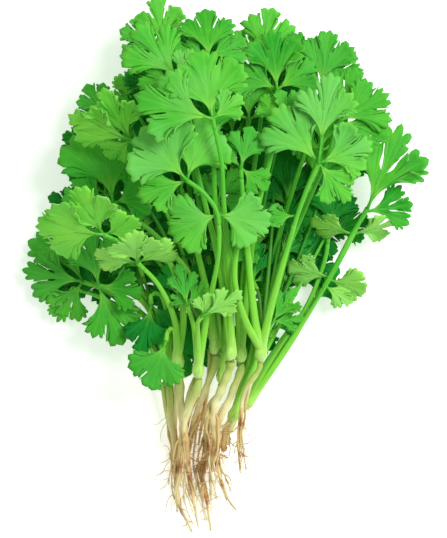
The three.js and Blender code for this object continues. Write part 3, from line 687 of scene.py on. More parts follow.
def leaflet_grid(form, phase):
    """Flat places [column, row] of a leaflet of length 1, the columns of each one's tooth vein
    and main vein, and how free each column is to move, which is 0 where two lobes meet."""
    rims, bends, vein, main, free = [], [], [], [], []
    fork = np.array([HUB - 0.04, 0.0])
    for side in (-1, 0, 1):
        luck = 3.1 * side + phase
        lobe = lobe_of(form, side, luck, phase)
        cut, tau, tooth = teeth_of(lobe, form, luck)
        edge = smooth_edge(lobe, tau)
        rims.append(kept_apart(lobe, edge + cut, tau))
        edge = kept_apart(lobe, edge, tau)
        along, across = (edge - lobe["hub"]) @ lobe["axis"], (edge - lobe["hub"]) @ lobe["left"]
        inner = (side * tau <= 0)[:, None]
        border = (np.abs(tau) ** 10)[:, None]
        other = np.where(inner, fork + 0.55 * (edge - fork), on_lobe(lobe, 0.46 * along, 0.76 * across))
        bends.append(on_lobe(lobe, 0.62 * along, 0.22 * across) * (1 - border) + other * border)
        free.append(np.where(inner, 1 - np.abs(tau[:, None]) ** 3, 1.0))
        middle = sum(map(len, rims[:-1])) + form["fine"] // 2
        vein.append(middle + tooth * form["fine"])
        main.append(np.full(len(edge), middle + form["teeth"] // 2 * form["fine"]))
    rim, bend = np.concatenate(rims), np.concatenate(bends)
    order = np.linspace(-1, 1, len(rim))
    start = np.stack([0 * order, 0.5 * NECK_WIDE * order], axis=1)
    neck = np.stack([NECK_AT + 0 * order, NECK_WIDE * order], axis=1)
    v = SHARE[..., None] ** 0.9
    grid = (start[:, None] * (1 - v) ** 3 + neck[:, None] * 3 * (1 - v) ** 2 * v
            + bend[:, None] * 3 * (1 - v) * v ** 2 + rim[:, None] * v ** 3)
    return grid, np.concatenate(vein), np.concatenate(main), np.concatenate(free)


print("places of a fan, by column and row:", leaflet_grid(FORMS["fan"], 0)[0].shape[:2])

# %% [markdown]
# ## From the flat fan to the blade
# The blade droops towards its rim, cups a little and waves, as the frame's solid does. On
# top of that each lobe folds along its axis, the rim curls, and the veins are sunk a bit.
# A cloth simulation could do it too, but it would pull the leaf away from its solid.

# %% How a blade bends
BEND = dict(droop=0.1, cup=0.04, wave=0.025)
LAID = dict(droop=0.0, cup=0.0, wave=0.0)
WAVES = 3  # how many waves there are from one side of the blade to the other
WEDGE = 0.45  # how much narrower they are near the neck


def bent(flat, bend, phase):
    """The height of the blade's middle surface over flat places, for a length of 1."""
    x, y = flat[..., 0], flat[..., 1]
    reach = np.hypot(x, y)
    angle = np.arctan2(y, np.maximum(x, 1e-6)) / (1 - WEDGE * (1 - np.minimum(1, reach)))
    wave = bend["wave"] * np.sin(WAVES * angle + phase) * reach ** 2
    return bend["cup"] * y ** 2 - bend["droop"] * x ** 2 + wave


print("the middle of a blade droops", BEND["droop"], "of its length")

# %% Folds, ripples and sunk veins
STILL = 0.3  # how much of its folds and ripples a laid blade keeps
FOLD = 0.22  # how far a lobe's halves fold up or down
CURL = 0.09  # how far a lobe's tip curls
RIPPLE = 0.006  # how high its ripples are
RELIEF = 0.012  # mm that the tissue rises between the veins of the teeth
SUNK_VEIN = 0.035  # mm that the three main veins are sunk


def surface(grid, long, bend, phase, main, free, off, from_main):
    """The height of a blade's middle surface, with all that is on top of its bend."""
    side = np.sign(main - main[len(main) // 2])[:, None]
    fold = FOLD * vary(phase + 0.37 + side * 1.1) * (from_main / long) * SHARE
    tip = CURL * vary(1.9 * phase + 0.11 + side) * np.clip((SHARE - 0.6) / 0.4, 0, 1) ** 2
    ripple = RIPPLE * np.sin(21 * grid[..., 0] + phase) * np.sin(19 * grid[..., 1] + 2 * phase)
    still = STILL if bend is LAID else 1.0
    z = long * (bent(grid, bend, phase) + still * ((fold + tip) * free + ripple))
    body = np.clip(SHARE * 4, 0, 1) * np.clip((1 - SHARE) * 5, 0.2, 1)
    relief = RELIEF * (1 - np.exp(-(off / 0.9) ** 2))
    return z + body * (relief - SUNK_VEIN * np.exp(-(from_main / 0.6) ** 2))


print("main veins are", SUNK_VEIN, "mm deep")

# %% Blades
LAID_Z = 0.3  # a blade's middle when its underside is on the table
UV_SCALE = 0.1  # from millimetres to the map that the net of veins is drawn on


def blade(name, long, neck, form, bend, phase, matrix, tint):
    """A leaflet's blade, and the lines along which its three main veins run."""
    grid, vein, main, free = leaflet_grid(form, phase)
    columns = len(grid) - 1
    mesh = blank(sheet_blank, columns, ALONG)
    spots = places_of(mesh)
    column = np.round((spots[:, 0] + 0.5) * columns).astype(int)
    row = np.round((spots[:, 1] + 0.5) * ALONG).astype(int)

    off = np.linalg.norm(grid - grid[vein], axis=2) * long
    from_main = np.linalg.norm(grid - grid[main], axis=2) * long
    z = surface(grid, long, bend, phase, main, free, off, from_main)[..., None]
    flat = np.concatenate([grid * long + np.array([neck, 0]), z, 1 + 0 * z], axis=2)
    placed = (flat @ np.array(matrix).T)[..., :3]
    placed[..., 2] = np.maximum(placed[..., 2], LAID_Z)

    mark = np.stack([off, from_main, SHARE + 0 * off], axis=2)
    piece = copied(mesh, name, placed[column, row], leaf=mark[column, row], tint=np.full(len(spots), tint))
    corner = np.empty(len(piece.data.loops), int)
    piece.data.loops.foreach_get("vertex_index", corner)
    uv = (flat[column, row, :2] * UV_SCALE)[corner]
    piece.data.uv_layers[0].data.foreach_set("uv", uv.ravel())
    return piece, [placed[line] for line in sorted(set(main))]


print("laid blades are", LAID_Z, "mm above the table")

# %% [markdown]
# ## Veins
# Under the blade the three main veins stand out as round ribs, which can be seen where a
# leaf turns its back. A bump in the finish would be cheaper, but it leaves the mesh flat.
# So they are thin tubes, along the same columns of the grid that the blade has.

# %% Veins
RIB_COLOUR = 130  # veins take the colour that a stalk has this far from its foot
RIB_LOW = 0.16  # how far below the blade's middle a rib runs


def rib(name, foot, line, thick, share):
    """A vein as a round rib under the blade, from a foot along a line of the leaflet's grid."""
    line = np.concatenate([[foot], line])[:round(ALONG * share) + 1] - np.array([0, 0, RIB_LOW])
    route = Route(line, steps=4)

    def radius(along, _):
        part = np.clip(along / route.length, 0, 1)
        return thick * np.interp(part, [0, 0.25, 1], [1, 0.62, 0.15])
    return tube(name, route, 0, route.length, radius, 5, route.length / 6, RIB_COLOUR)


print("veins take the colour of a stalk", RIB_COLOUR, "mm from its foot")

# %% [markdown]
# ## The finish of leaves, stalks and roots
# A herb's colours come from within: chlorophyll makes the leaves green, the stalks fade to
# white where no light reaches them, and soil stains the roots. Pictures of real leaves
# could be wrapped round the pieces, but they would repeat. So every finish is computed from
# the marks and from noise in space. Each is written as sums: a small class wraps a node's
# output, so that arithmetic on it adds the Math nodes.

# %% Numbers on their way through a finish
def colour(code):
    """A colour written in hex, as the light values that a shader wants."""
    parts = [int(code[k:k + 2], 16) / 255 for k in (0, 2, 4)]
    return (*[p / 12.92 if p <= 0.04045 else ((p + 0.055) / 1.055) ** 2.4 for p in parts], 1.0)


class Wire:
    """A number on its way through a finish."""

    def __init__(self, finish, socket):
        self.finish = finish
        self.socket = socket

    def math(self, operation, *values):
        return self.finish.node("ShaderNodeMath", {"operation": operation}, dict(enumerate(values)))

    def __add__(self, other):
        return self.math("ADD", self, other)

    def __sub__(self, other):
        return self.math("SUBTRACT", self, other)

    def __rsub__(self, other):
        return self.math("SUBTRACT", other, self)

    def __mul__(self, other):
        return self.math("MULTIPLY", self, other)

    def __truediv__(self, other):
        return self.math("DIVIDE", self, other)

    def most(self, other):
        return self.math("MAXIMUM", self, other)

    def held(self):
        """Kept between 0 and 1."""
        return self.finish.node("ShaderNodeClamp", {}, {"Value": self})

    def over(self, low, high, start=0.0, end=1.0):
        """Goes smoothly from start to end as this goes from low to high."""
        settings = {"interpolation_type": "SMOOTHSTEP"}
        inputs = {"Value": self, "From Min": low, "From Max": high, "To Min": start, "To Max": end}
        return self.finish.node("ShaderNodeMapRange", settings, inputs)


print("mid green in light values:", [round(part, 3) for part in colour("4cba38")[:3]])

# %% [markdown]
# ## A finish
# One more class holds a material and its glossy shader. Nodes could be added and linked one
# by one, as in the shader editor, but that takes five lines for each. Here one method adds
# any node, and the short ones below it are for the nodes that all finishes use.

# %% A finish
class Finish:
    """A material with one glossy shader, and the nodes that feed it."""

    def __init__(self, name, **constants):
        self.material = bpy.data.materials.new(name)
        self.material.use_nodes = True
        self.tree = self.material.node_tree
        self.shader = self.tree.nodes["Principled BSDF"]
        for socket, value in constants.items():
            self.shader.inputs[socket.replace("_", " ")].default_value = value

    def node(self, kind, settings, inputs, output=0):
        """Adds a node with its settings and inputs, and gives one of its outputs."""
        made = self.tree.nodes.new(kind)
        for key, value in settings.items():
            setattr(made, key, value)
        for key, value in inputs.items():
            if isinstance(value, Wire):
                self.tree.links.new(value.socket, made.inputs[key])
            else:
                made.inputs[key].default_value = value
        return Wire(self, made.outputs[output])

    def feed(self, socket, wire):
        self.tree.links.new(wire.socket, self.shader.inputs[socket])

    def space(self, kind):
        """Places in space (Object) or on a leaflet's map (UV)."""
        return self.node("ShaderNodeTexCoord", {}, {}, kind)

    def mark(self, name, output="Vector"):
        return self.node("ShaderNodeAttribute", {"attribute_name": name}, {}, output)

    def parts(self, vector):
        return [self.node("ShaderNodeSeparateXYZ", {}, {0: vector}, k) for k in range(3)]

    def scaled(self, vector, *scale):
        return self.node("ShaderNodeVectorMath", {"operation": "MULTIPLY"}, {0: vector, 1: scale})

    def noise(self, vector, scale, detail=3.0, roughness=0.5):
        return self.node("ShaderNodeTexNoise", {},
                         {"Vector": vector, "Scale": scale, "Detail": detail, "Roughness": roughness})

    def ramp(self, share, *stops):
        """Colours that go from stop to stop as share goes from 0 to 1."""
        made = self.node("ShaderNodeValToRGB", {}, {"Fac": share})
        elements = made.socket.node.color_ramp.elements
        for _ in stops[2:]:
            elements.new(1.0)
        for element, (place, code) in zip(elements, stops):
            element.position = place
            element.color = colour(code)
        return made

    def coats(self, base, *layers):
        """Lays coats over a base, each with its share and its colour, and feeds the shader."""
        for share, code in layers:
            base = self.node("ShaderNodeMix", {"data_type": "RGBA"}, {0: share, 6: base, 7: colour(code)}, 2)
        self.feed("Base Color", base)

    def bump(self, height, distance, strength):
        inputs = {"Height": height, "Distance": distance, "Strength": strength}
        self.feed("Normal", self.node("ShaderNodeBump", {}, inputs))


print("a finish can feed any socket of its glossy shader")

# %% [markdown]
# ## The leaves' finish
# Young leaves are yellow-green and old ones deep green, and in one bunch there are both.
# The tones also carry painted light and shade: dark ones go on leaves deep in the pile,
# bright and fresh ones on the leaves on top.
# The upper side is a little glossy, has a lighter net of veins and mottled tissue, and is
# yellowest at the neck. The under side is paler and duller, with clear veins. Both could be
# one finish with a switch for the side, but two are easier to tune.

# %% The leaves' tones
# Besides the leaves' own greens: dark is painted shade for leaves deep in the pile, bright and fresh are
# painted light for the leaves on top
TONES = {
    "dark": dict(deep="045c12", lit="1f9a26", cool="0e7e30", vein="46aa3c", rim="369e30"),
    "mid": dict(deep="1e9622", lit="5cba30", cool="42a83a", vein="74c854", rim="66c244"),
    "bright": dict(deep="3cac2c", lit="6ecc42", cool="66ba5c", vein="92d864", rim="86d650"),
    "pale": dict(deep="7ccb48", lit="9ee060", cool="80cc60", vein="b4e884", rim="a8e46e"),
    "fresh": dict(deep="5cc834", lit="8ee04e", cool="70d44a", vein="a8ec76", rim="9cea68"),
}
print("tones:", ", ".join(TONES))

# %% The leaves' finish
NECK_GREEN = "8ed44c"
UNDER_GREEN = "96d07c"


def leaf_finish(name, tone, under):
    finish = Finish(name, Specular_IOR_Level=0.08)
    place = finish.space("Object")
    off, from_main, share = finish.parts(finish.mark("leaf"))
    tint = finish.mark("tint", "Fac")

    thin = 0.30 - share * 0.16  # veins get thinner towards the rim
    main = (off / thin).over(0.3, 1.0, 1.0, 0.0).most((from_main / (thin * 1.8)).over(0.3, 1.0, 1.0, 0.0))
    net = finish.node("ShaderNodeTexVoronoi", {"feature": "DISTANCE_TO_EDGE"},
                      {"Vector": finish.space("UV"), "Scale": 9.0})
    threads = net.over(0.0, 0.10, 1.0, 0.0)

    # From deep to lit: painted patches of light and shade, spread by noise in space and by each leaflet's
    # tint, with the mottled tissue in them
    cloud = finish.noise(place, 55.0)
    mottle = finish.noise(place, 420.0, 4.0, 0.6)
    shade = (cloud.over(0.30, 0.70) * 0.55 + tint * 0.45 + mottle * 0.24 - 0.12).held()
    cool = (finish.noise(place, 38.0, 2.0) + tint * 0.25).over(0.52, 0.80) * 0.7
    finish.coats(colour(tone["deep"]), (shade, tone["lit"]), (cool, tone["cool"]),
                 (off.over(0.2, 1.6, 1.0, 0.0) * 0.07, tone["vein"]), (threads * 0.08, tone["vein"]),
                 (main * (0.5 if under else 0.20), tone["vein"]),
                 (share.over(0.88, 1.0) * 0.22, tone["rim"]),
                 (share.over(0.40, 0.0, 0.0, 0.6), NECK_GREEN),
                 *([(0.35, UNDER_GREEN)] if under else []))
    finish.feed("Roughness", finish.noise(place, 900.0, 2.0) * 0.16 + (0.52 if under else 0.40))
    height = finish.noise(place, 2600.0) * 0.20 - threads * 0.16 - main * 0.3
    finish.bump(height * -1 if under else height, 0.00012, 0.6)
    return finish.material


LEAF = {tone: leaf_finish(f"leaf_{tone}_upper", shades, False) for tone, shades in TONES.items()}
UNDER = {tone: leaf_finish(f"leaf_{tone}_under", shades, True) for tone, shades in TONES.items()}
print(len(LEAF) + len(UNDER), "finishes for leaves")

# %% [markdown]
# ## The stalks' finish
# A stalk is nearly white in the crown and gets greener on its way up, with fine streaks
# along it. A gradient in space would do for upright stalks, but these lie every way, so the
# distance from the foot is a mark on their points. Stalks deep in the bunch get painted
# shade: a second finish with dark green mixed into it.

# %% The stalks' finish
STALK_RAMP = 140.0  # mm from a stalk's foot to the end of its colours


def stalk_finish(name, shaded):
    finish = Finish(name, Specular_IOR_Level=0.22)
    straight = finish.mark("straight")
    far = finish.parts(straight)[2]
    streaks = finish.noise(finish.scaled(straight, 1.0, 1.0, 0.05), 2.2, 3.0, 0.6)
    cloud = finish.noise(finish.space("Object"), 60.0)
    along = finish.ramp(far / STALK_RAMP, (0.0, "dcf0a2"), (0.03, "c2ea7a"), (0.10, "98de50"),
                        (0.3, "82d442"), (0.6, "5ac036"), (1.0, "52b534"))
    # shaded mixes in dark green: painted shade for stalks deep in the bunch
    finish.coats(along, (streaks.over(0.35, 0.7) * 0.35, "48a82c"), (cloud.over(0.45, 0.8) * 0.30, "8fdc50"),
                 (shaded, "14701c"))
    finish.feed("Roughness", streaks * 0.15 + 0.28)
    finish.bump(streaks, 0.0002, 0.5)
    return finish.material


STALK = stalk_finish("stalk", 0.0)
PAINTED_SHADE = stalk_finish("stalk_painted_shade", 0.6)
print("finishes:", STALK.name, "and", PAINTED_SHADE.name)

# %% [markdown]
# ## The roots' finish
# A root is greenish under the crown, cream below and stained by soil further down, with
# wrinkles across it. The stains could be painted, but then every root would need a map of
# its own. They are patches of noise that get stronger with the distance from the crown.

# %% The roots' finish
ROOT_RAMP = 70.0  # mm from the crown to the end of a root's colours


def root_finish():
    finish = Finish("root", Specular_IOR_Level=0.15)
    straight = finish.mark("straight")
    far = finish.parts(straight)[2]
    patches = finish.noise(finish.space("Object"), 130.0, 4.0, 0.6)
    wrinkles = finish.noise(finish.scaled(straight, 0.15, 0.15, 1.0), 1.6, 3.0, 0.65)
    along = finish.ramp(far / ROOT_RAMP, (0.0, "a6c45e"), (0.12, "c9cf7e"), (0.30, "efe4b0"),
                        (0.6, "dcb67c"), (0.8, "e6cb98"), (1.0, "ead7ab"))
    low = far.over(24.0, 44.0) * (1.0 - far.over(60.0, 78.0) * 0.6)
    finish.coats(along, (patches.over(0.46, 0.64) * (low * 0.72 + 0.10), "a5602f"),
                 (wrinkles.over(0.55, 0.8) * 0.25, "8a5a34"), (far.over(1.3, 0.2, 0.0, 0.6), "806c2c"))
    finish.feed("Roughness", patches * 0.2 + 0.6)
    finish.bump(wrinkles + patches * 0.5, 0.0004, 0.7)
    return finish.material


ROOT = root_finish()
print("finish:", ROOT.name)

# %% [markdown]
# ## A leaflet with its veins
# A leaflet sits at the end of its stalk, turned to its heading, and tilts with the whole
# leaf. The blade and its ribs could be turned as objects, but then a laid blade could dip
# into the table. So one matrix moves their points, and what is too low is lifted.

# %% A leaflet
NECK_LONG = 0.14  # the neck of an end leaflet, as a share of the leaflet's length
SIDE_NECK = 2.5  # the neck of a leaflet that grows further back on the stalk
RIBS = [(0.42, 0.6), (0.85, 0.78), (0.42, 0.6)]  # how thick each rib is and how far it goes
RIB_FOOT = Vector((-0.6, 0, -0.1))  # where the ribs begin, inside the stalk


def dress(piece, *finishes):
    """Gives a piece its finishes and smooth shading."""
    piece.data.materials.clear()
    for finish in finishes:
        piece.data.materials.append(finish)
    piece.data.shade_smooth()
    return piece


def turned(degrees, axis):
    return Matrix.Rotation(math.radians(degrees), 4, axis)


def leaflet(name, data, at, leaf, phase, tint):
    """A leaflet's blade, and its three ribs."""
    heading, long, more = (*data, {})[:3]
    form = FORMS[more.get("form", leaf.get("form", "fan"))]
    neck = more.get("neck", SIDE_NECK if "back" in more else NECK_LONG * long)
    tilt_way, tilt = leaf.get("tilt", (0, 0))
    matrix = (Matrix.Translation(Vector(at)) @ turned(tilt_way, "Z") @ turned(-tilt, "Y")
              @ turned(heading - tilt_way, "Z") @ turned(-more.get("lift", 0), "Y")
              @ turned(more.get("twist", 0), "X"))
    bend = LAID if leaf.get("laid") else BEND
    sheet, lines = blade(f"{name}_blade", long, neck, form, bend, phase, matrix, tint)
    look = more.get("look", leaf.get("look", leaf["tone"]))
    foot = np.array(matrix @ RIB_FOOT)
    ribs = [rib(f"{name}_rib", foot, line, *size) for line, size in zip(lines, RIBS)]
    return dress(sheet, UNDER[look], LEAF[look]), ribs


print("an end leaflet's neck is", NECK_LONG, "of its length")

# %% [markdown]
# ## A compound leaf
# Three or more leaflets meet at the end of a stalk, and some leaves have a second pair
# further back. A blade could stay a sheet, but a sheet has no under side of its own. So a
# Solidify modifier makes it 0.34 mm thick, which also gives that side its own finish. The
# last stretch of the stalk belongs to the leaf.

# %% The way a plant grows
CROWN_RISE = 6  # degrees
STALK_START = 6  # how far up the crown's middle the stalks part
STALK_LOW = 1.6  # where their sheaths begin, inside the crown
RACHIS = 5  # length of the stalk's last stretch, which belongs to the leaf


def growth(plant):
    """The way in which a plant's stalks leave its crown."""
    rise, way = math.radians(CROWN_RISE), math.radians(plant["grows"])
    return np.array([math.cos(rise) * math.cos(way), math.cos(rise) * math.sin(way), math.sin(rise)])


def up_crown(plant, far):
    return np.array(plant["crown"]) + growth(plant) * far


def stalk_route(plant, leaf):
    return Route([up_crown(plant, STALK_LOW), up_crown(plant, STALK_START), *leaf["route"]])


def back_of(data):
    """How far back on the stalk a leaflet grows."""
    return (*data, {})[2].get("back", 0)


def rachis_of(leaf):
    return RACHIS + max(map(back_of, leaf["leaflets"]))


print("the first stalk leaves its crown at", [round(v, 1) for v in up_crown(PLANTS[0], STALK_LOW)])

# %% A compound leaf
BLADE_THICK = 0.34
LAYER = 2  # how far the end leaflet of a leaf lies above the side ones
STALK_TIP = 1.05  # a stalk's radius at its tip
PAST = 0.8  # how far the stalk goes on past the place where the leaflets meet
PHASE = dict(plant=6, leaf=2, leaflet=1.7)  # steps from one to the next, so that none are alike


def solidify(piece, thick):
    """Gives a sheet its thickness, half on either side."""
    alone(piece)
    wall = piece.modifiers.new("thickness", "SOLIDIFY")
    wall.thickness = thick * MM
    wall.offset = 0
    wall.material_offset = 1
    bpy.ops.object.modifier_apply(modifier=wall.name)


def compound_leaf(name, plant, leaf, phase):
    """A leaf as one piece: its blades, their ribs and the last stretch of its stalk."""
    route = stalk_route(plant, leaf)
    tip = route.length
    sheets, ribs = [], []
    for k, data in enumerate(leaf["leaflets"]):
        at = route.at(tip - back_of(data))[0]
        at[2] = LAID_Z + leaf.get("above", 0) if leaf.get("laid") else at[2] - LAYER / 2
        at[2] += 0 if k else LAYER
        tint = 0.5 + 0.5 * vary(phase * 0.77 + 1.31 * k)
        sheet, own = leaflet(name, data, at, leaf, phase + PHASE["leaflet"] * k, tint)
        sheets.append(sheet)
        ribs += own

    def radius(far, _):
        end = np.clip((tip + PAST - far) / 1.2, 0.02, 1)
        return STALK_TIP * np.sqrt(end) * np.interp(far, [tip - 3, tip - 0.5], [1, 1.12])
    stretch = tube(name, route, tip - rachis_of(leaf), tip + PAST, radius, sides=12, step=1.2)
    blades = join(sheets, name)
    solidify(blades, BLADE_THICK)
    return join([blades, dress(join([*ribs, stretch], f"{name}_veins"), STALK)], name)


print("blades are", BLADE_THICK, "mm thick")

# %% [markdown]
# ## Crowns and stalks
# The foot of a plant is a small bulb, where the sheaths of the stalks clasp each other. A
# stalk is wide there and thin above, with a groove along its top and fine ribs. Crown and
# stalks could be one smooth skin over a skeleton, but the sheaths do stay separate.

# %% A crown
CROWN_LONG = 17
CROWN_WIDE = 3.7  # a radius that its shares below refer to
CROWN_FAR = [0, 0.3, 0.9, 2.0, 4.0, 8.0, 13.0, 17.0]  # distances from its foot
CROWN_SHARES = [0.12, 0.28, 0.46, 0.64, 0.80, 0.62, 0.36, 0.10]
RIDGES = 0.07  # how far the sheaths of the stalks stand out


def crown(name, plant):
    """The foot of the plant: round below, then ridged where the stalks' sheaths clasp it."""
    line = Route([up_crown(plant, far) for far in (0, CROWN_LONG / 2, CROWN_LONG)])

    def swell(far, angle):
        width = np.interp(far, CROWN_FAR, CROWN_SHARES) * CROWN_WIDE
        ridge = np.clip(far / 6, 0, 1) * np.cos(len(plant["leaves"]) * angle + plant["crown"][0])
        return width * (1 + RIDGES * ridge)
    return tube(name, line, 0, CROWN_LONG, swell, sides=24, step=0.6)


print("a crown is", round(2 * CROWN_WIDE * max(CROWN_SHARES), 1), "mm wide")

# %% Stalks
STALK_FOOT = 1.9  # a stalk's radius at its foot
STALK_NARROWS = 0.8  # the share of its length in which a stalk gets thinner


def stalk(name, plant, leaf):
    """A leaf's stalk: a wide sheath at the crown, then thin, with a groove along its top."""
    route = stalk_route(plant, leaf)
    end = route.length - rachis_of(leaf) + PAST

    def radius(far, angle):
        share = np.clip(far / (end * STALK_NARROWS), 0, 1)
        base = (STALK_FOOT + (STALK_TIP - STALK_FOOT) * share) * leaf.get("thick", 1)
        sheath = (1 + 0.26 * np.exp(-far / 12)) * np.interp(far, [0, 1, 3.5], [0.2, 0.6, 1])
        inside = np.where(far > end - 0.9, 0.94, 1)
        groove = 1 - 0.07 * np.exp(-((angle - math.pi / 2) / 0.5) ** 2)
        return base * sheath * inside * groove * (1 + 0.03 * np.cos(6 * angle))
    return tube(name, route, 0, end, radius, sides=14, step=2.8)


def stems(name, plant):
    """A plant's crown and its stalks, as one piece."""
    stalks = [stalk(name, plant, leaf) for leaf in plant["leaves"]]
    return dress(join([crown(name, plant), *stalks], name), STALK)


print("stalks go from", 2 * STALK_FOOT, "to", 2 * STALK_TIP, "mm")

# %% [markdown]
# ## Roots
# A taproot is thickest under the crown and wrinkled across. Thinner roots leave it, run
# along with it and wind round it, and fine hairs stand off all of them. Hair particles
# could be the hairs, but they aren't part of a mesh, so these are thin tubes. Chance draws
# them, with a seed for each plant, so that they come out the same each time.

# %% Fine roots
ROOT_LOWEST = -126.5  # where the bunch ends
HAIR_Z, SIDE_ROOT_Z = 0.4, 0.8  # how far above the table their middles stay


def kept_in(point, low):
    """Keeps a root's point above the table and inside the bunch's length."""
    return np.array([point[0], max(point[1], ROOT_LOWEST), max(point[2], low)])


def wandering(luck, start, heading, long, steps, bend, drop):
    """A route from start that turns a little at each step and never sinks into the table."""
    points = [np.array(start, float)]
    for _ in range(steps):
        heading += luck.uniform(-bend, bend)
        way = np.array([math.cos(heading), math.sin(heading), luck.uniform(-drop, drop * 0.3)])
        points.append(kept_in(points[-1] + long / steps * way, HAIR_Z))
    return Route(points, steps=8)


def winding(luck, route, start, end, wide):
    """A route along another one, off to its side and winding round it."""
    turn, pace = luck.uniform(0, 6.3), luck.uniform(-0.11, 0.11)
    points = []
    for far in np.linspace(start, end, 9):
        share = (far - start) / (end - start)
        out = wide * math.sin(math.pi * min(0.5, 2 * share)) * (1.2 + luck.uniform(-0.3, 0.4))
        across = np.cross([0, 0, 1], route.way(far)[0])
        angle = turn + pace * (far - start)
        place = route.at(far)[0] + out * math.cos(angle) * across
        points.append(kept_in(place + [0, 0, out * 0.7 * math.sin(angle)], SIDE_ROOT_Z))
    return Route(points, steps=12)


def fibre(name, line, thick, sides, shift):
    def radius(far, _):
        return thick * np.interp(far / line.length, [0, 0.1, 0.7, 1], [1.3, 1, 0.75, 0.3])
    return tube(name, line, 0, line.length, radius, sides, line.length / 9, shift)


print("no root goes further down than", ROOT_LOWEST, "mm")

# %% Taproots
ROOT_STRAIGHT = 4  # how far it goes straight on from the crown
ROOT_THIN = 0.68  # the taproot's own radius, as a share of the frame's, which holds its side roots too
ROOT_END = 0.35  # its radius at its end
ROOT_SIDES = 4
ROOT_HAIRS = 12  # on every root, before the extra ones
SEED = 100  # of the first plant


def taproot(name, plant, number):
    """A plant's roots as one piece: the taproot, side roots along it, and hairs."""
    luck = random.Random(SEED + number)
    route = Route([up_crown(plant, 0.4), up_crown(plant, -ROOT_STRAIGHT), *plant["root"]])
    wide = plant["root_wide"] * ROOT_THIN
    bumps = [(luck.uniform(0.2, 0.9), luck.uniform(0, 6), luck.uniform(0.02, 0.06)) for _ in range(7)]
    narrows, aged = (0.22, 30.0) if plant.get("blunt") else (0.75, 0.0)

    def radius(far, angle):
        base = ROOT_END + (wide - ROOT_END) * (1 - np.clip(far / route.length, 0, 1)) ** narrows
        neck = 1 - 0.12 * np.exp(-far / 2.0)
        lumps = sum(size * np.sin(pace * far + start + np.cos(angle + start)) for pace, start, size in bumps)
        rings = 0.02 * np.sin(4.1 * far + 2 * np.sin(angle)) * np.sin(0.7 * far)
        return base * neck * (1 + lumps + rings)
    parts = [tube(name, route, 0, route.length, radius, sides=16, step=0.7, shift=aged)]
    carriers = [(route, aged)]

    def add(line, thick, sides, shift):
        parts.append(fibre(name, line, thick, sides, shift))
        carriers.append((line, shift))
    for points in plant.get("more_roots", []):
        add(Route(points), 1.25, 12, 3.0)
    for _ in range(ROOT_SIDES):
        start = luck.uniform(0.12, 0.5) * route.length
        end = luck.uniform(0.75, 1.0) * route.length
        line = winding(luck, route, start, end, wide * luck.uniform(0.7, 1.5))
        add(line, luck.uniform(0.38, 0.75), 8, start + 12)
    count, side = plant["rootlets"]
    for _ in range(ROOT_HAIRS + 3 * count):
        line, shift = luck.choice(carriers)
        far = luck.uniform(0.25, 0.98) * line.length
        way = line.way(far)[0]
        turn = math.radians(luck.choice([side, side, -side]) * luck.uniform(10, 75))
        long = luck.choice([luck.uniform(3, 7), luck.uniform(5, 14)])
        hair = wandering(luck, line.at(far)[0], math.atan2(way[1], way[0]) + turn, long, 6, 0.55, 0.35)
        parts.append(fibre(name, hair, luck.uniform(0.12, 0.27), 5, shift + 20))
    return dress(join(parts, name), ROOT)


print("each taproot carries", ROOT_SIDES, "side roots and at least", ROOT_HAIRS, "hairs")

# %% [markdown]
# ## Growing the bunch
# Everything is ready now, so the plants are made one after the other. They could all be one
# mesh, but as separate pieces they can be moved or hidden one by one. Each piece rides on
# the frame, and the solid of the frame that it stands for is hidden.

# %% The bunch
def hand_over(piece, replaced=None):
    """Makes a piece ride on the frame, and hides the node that it stands for."""
    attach(piece, "root")
    if replaced:
        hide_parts(replaced)


for k, plant in enumerate(PLANTS):
    name = f"plant_{k + 1:02d}"
    hand_over(taproot(f"{name}_taproot", plant, k), f"{name}_root")
    hand_over(stems(f"{name}_stalks", plant), f"{name}_stems")
    for n, (letter, leaf) in enumerate(zip("abcdefg", plant["leaves"])):
        made = compound_leaf(f"{name}_foliage_{letter}", plant, leaf, PHASE["plant"] * k + PHASE["leaf"] * n)
        hand_over(made, f"{name}_leaf_{letter}")

# %% [markdown]
# ## Growing the leaves in between
# The smaller leaves stand for no solid of the frame. They could be set in the gaps as they
# are, but then they would float. So each has its own thin stalk from its plant's crown, and
# it's one piece with it.

# %% The leaves in between
SMALL_STALK = 0.7  # how thick their stalks are, next to the others
ARCH = 0.10  # how far these stalks arch, as a share of their length

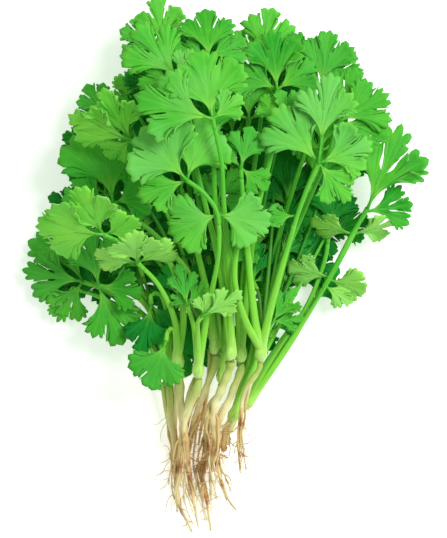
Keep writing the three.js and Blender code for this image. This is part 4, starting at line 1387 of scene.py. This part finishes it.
for k, (number, place, tone, form, leaflets) in enumerate(MORE):
    plant = PLANTS[number - 1]
    foot = up_crown(plant, CROWN_LONG)
    across = place - foot
    middle = foot + 0.5 * across + growth(plant) * ARCH * np.linalg.norm(across)
    leaf = dict(route=[middle, place], tone=tone, form=form, leaflets=leaflets, thick=SMALL_STALK)
    made = compound_leaf(f"small_leaf_{k + 1:02d}", plant, leaf, 3.3 * k + 1)
    # Stalks of dark small leaves take the finish with painted shade
    own = dress(stalk("stalk", plant, leaf), PAINTED_SHADE if tone == "dark" else STALK)
    hand_over(join([made, own], made.name))
triangles = sum(len(p.vertices) - 2 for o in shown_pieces() if o.type == "MESH" for p in o.data.polygons)
print("triangles:", triangles)

# %% [markdown]
# ## The table
# The bunch lies on a wide white table, with no edge in sight and only a faint shadow. A
# white world behind the bunch would look the same from above, but it would have no shadow
# at all. So there is a real table, which also gives off a little light of its own.

# %% The table
TABLE_WIDE = 12  # metres, so that no edge is in sight
TABLE_LOW = -0.0002  # metres, so that nothing lies in the same plane as the table

bpy.ops.mesh.primitive_plane_add(size=TABLE_WIDE, location=(0, 0, TABLE_LOW))
table = bpy.context.object
table.name = "table"
table_finish = Finish("table", Roughness=0.9, Specular_IOR_Level=0.1, Base_Color=(0.85, 0.85, 0.85, 1),
                      Emission_Color=(1, 1, 1, 1), Emission_Strength=0.5)
table.data.materials.append(table_finish.material)
table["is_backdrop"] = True
print("table:", tuple(table.dimensions))

# %% [markdown]
# ## The light
# The light is soft and comes from the upper right. A small lamp would draw hard shadows, so
# this one is a wide disk, in a bright room all round. The room is pale green, because most
# light between leaves has been through other ones. Standard view keeps the greens as bright
# as they are written.

# %% The light
SKY = (0.84, 1.0, 0.80, 1)
SKY_STRENGTH = 0.57  # weak enough for shade between the leaves
SOFTBOX_WIDE = 0.8  # metres
SOFTBOX_POWER = 21.5  # watts
SOFTBOX_AT = Vector((0.85, 0.55, 1.25))  # metres

world = bpy.data.worlds.new("sky")
world.use_nodes = True
background = world.node_tree.nodes["Background"]
background.inputs["Color"].default_value = SKY
background.inputs["Strength"].default_value = SKY_STRENGTH
bpy.context.scene.world = world

softbox_data = bpy.data.lights.new("softbox", "AREA")
softbox_data.shape = "DISK"
softbox_data.size = SOFTBOX_WIDE
softbox_data.energy = SOFTBOX_POWER
softbox = bpy.data.objects.new("softbox", softbox_data)
softbox.location = SOFTBOX_AT
softbox.rotation_euler = (-SOFTBOX_AT).to_track_quat("-Z", "Y").to_euler()
bpy.context.scene.collection.objects.link(softbox)
bpy.context.scene.view_settings.view_transform = "Standard"
print("softbox:", SOFTBOX_POWER, "W")
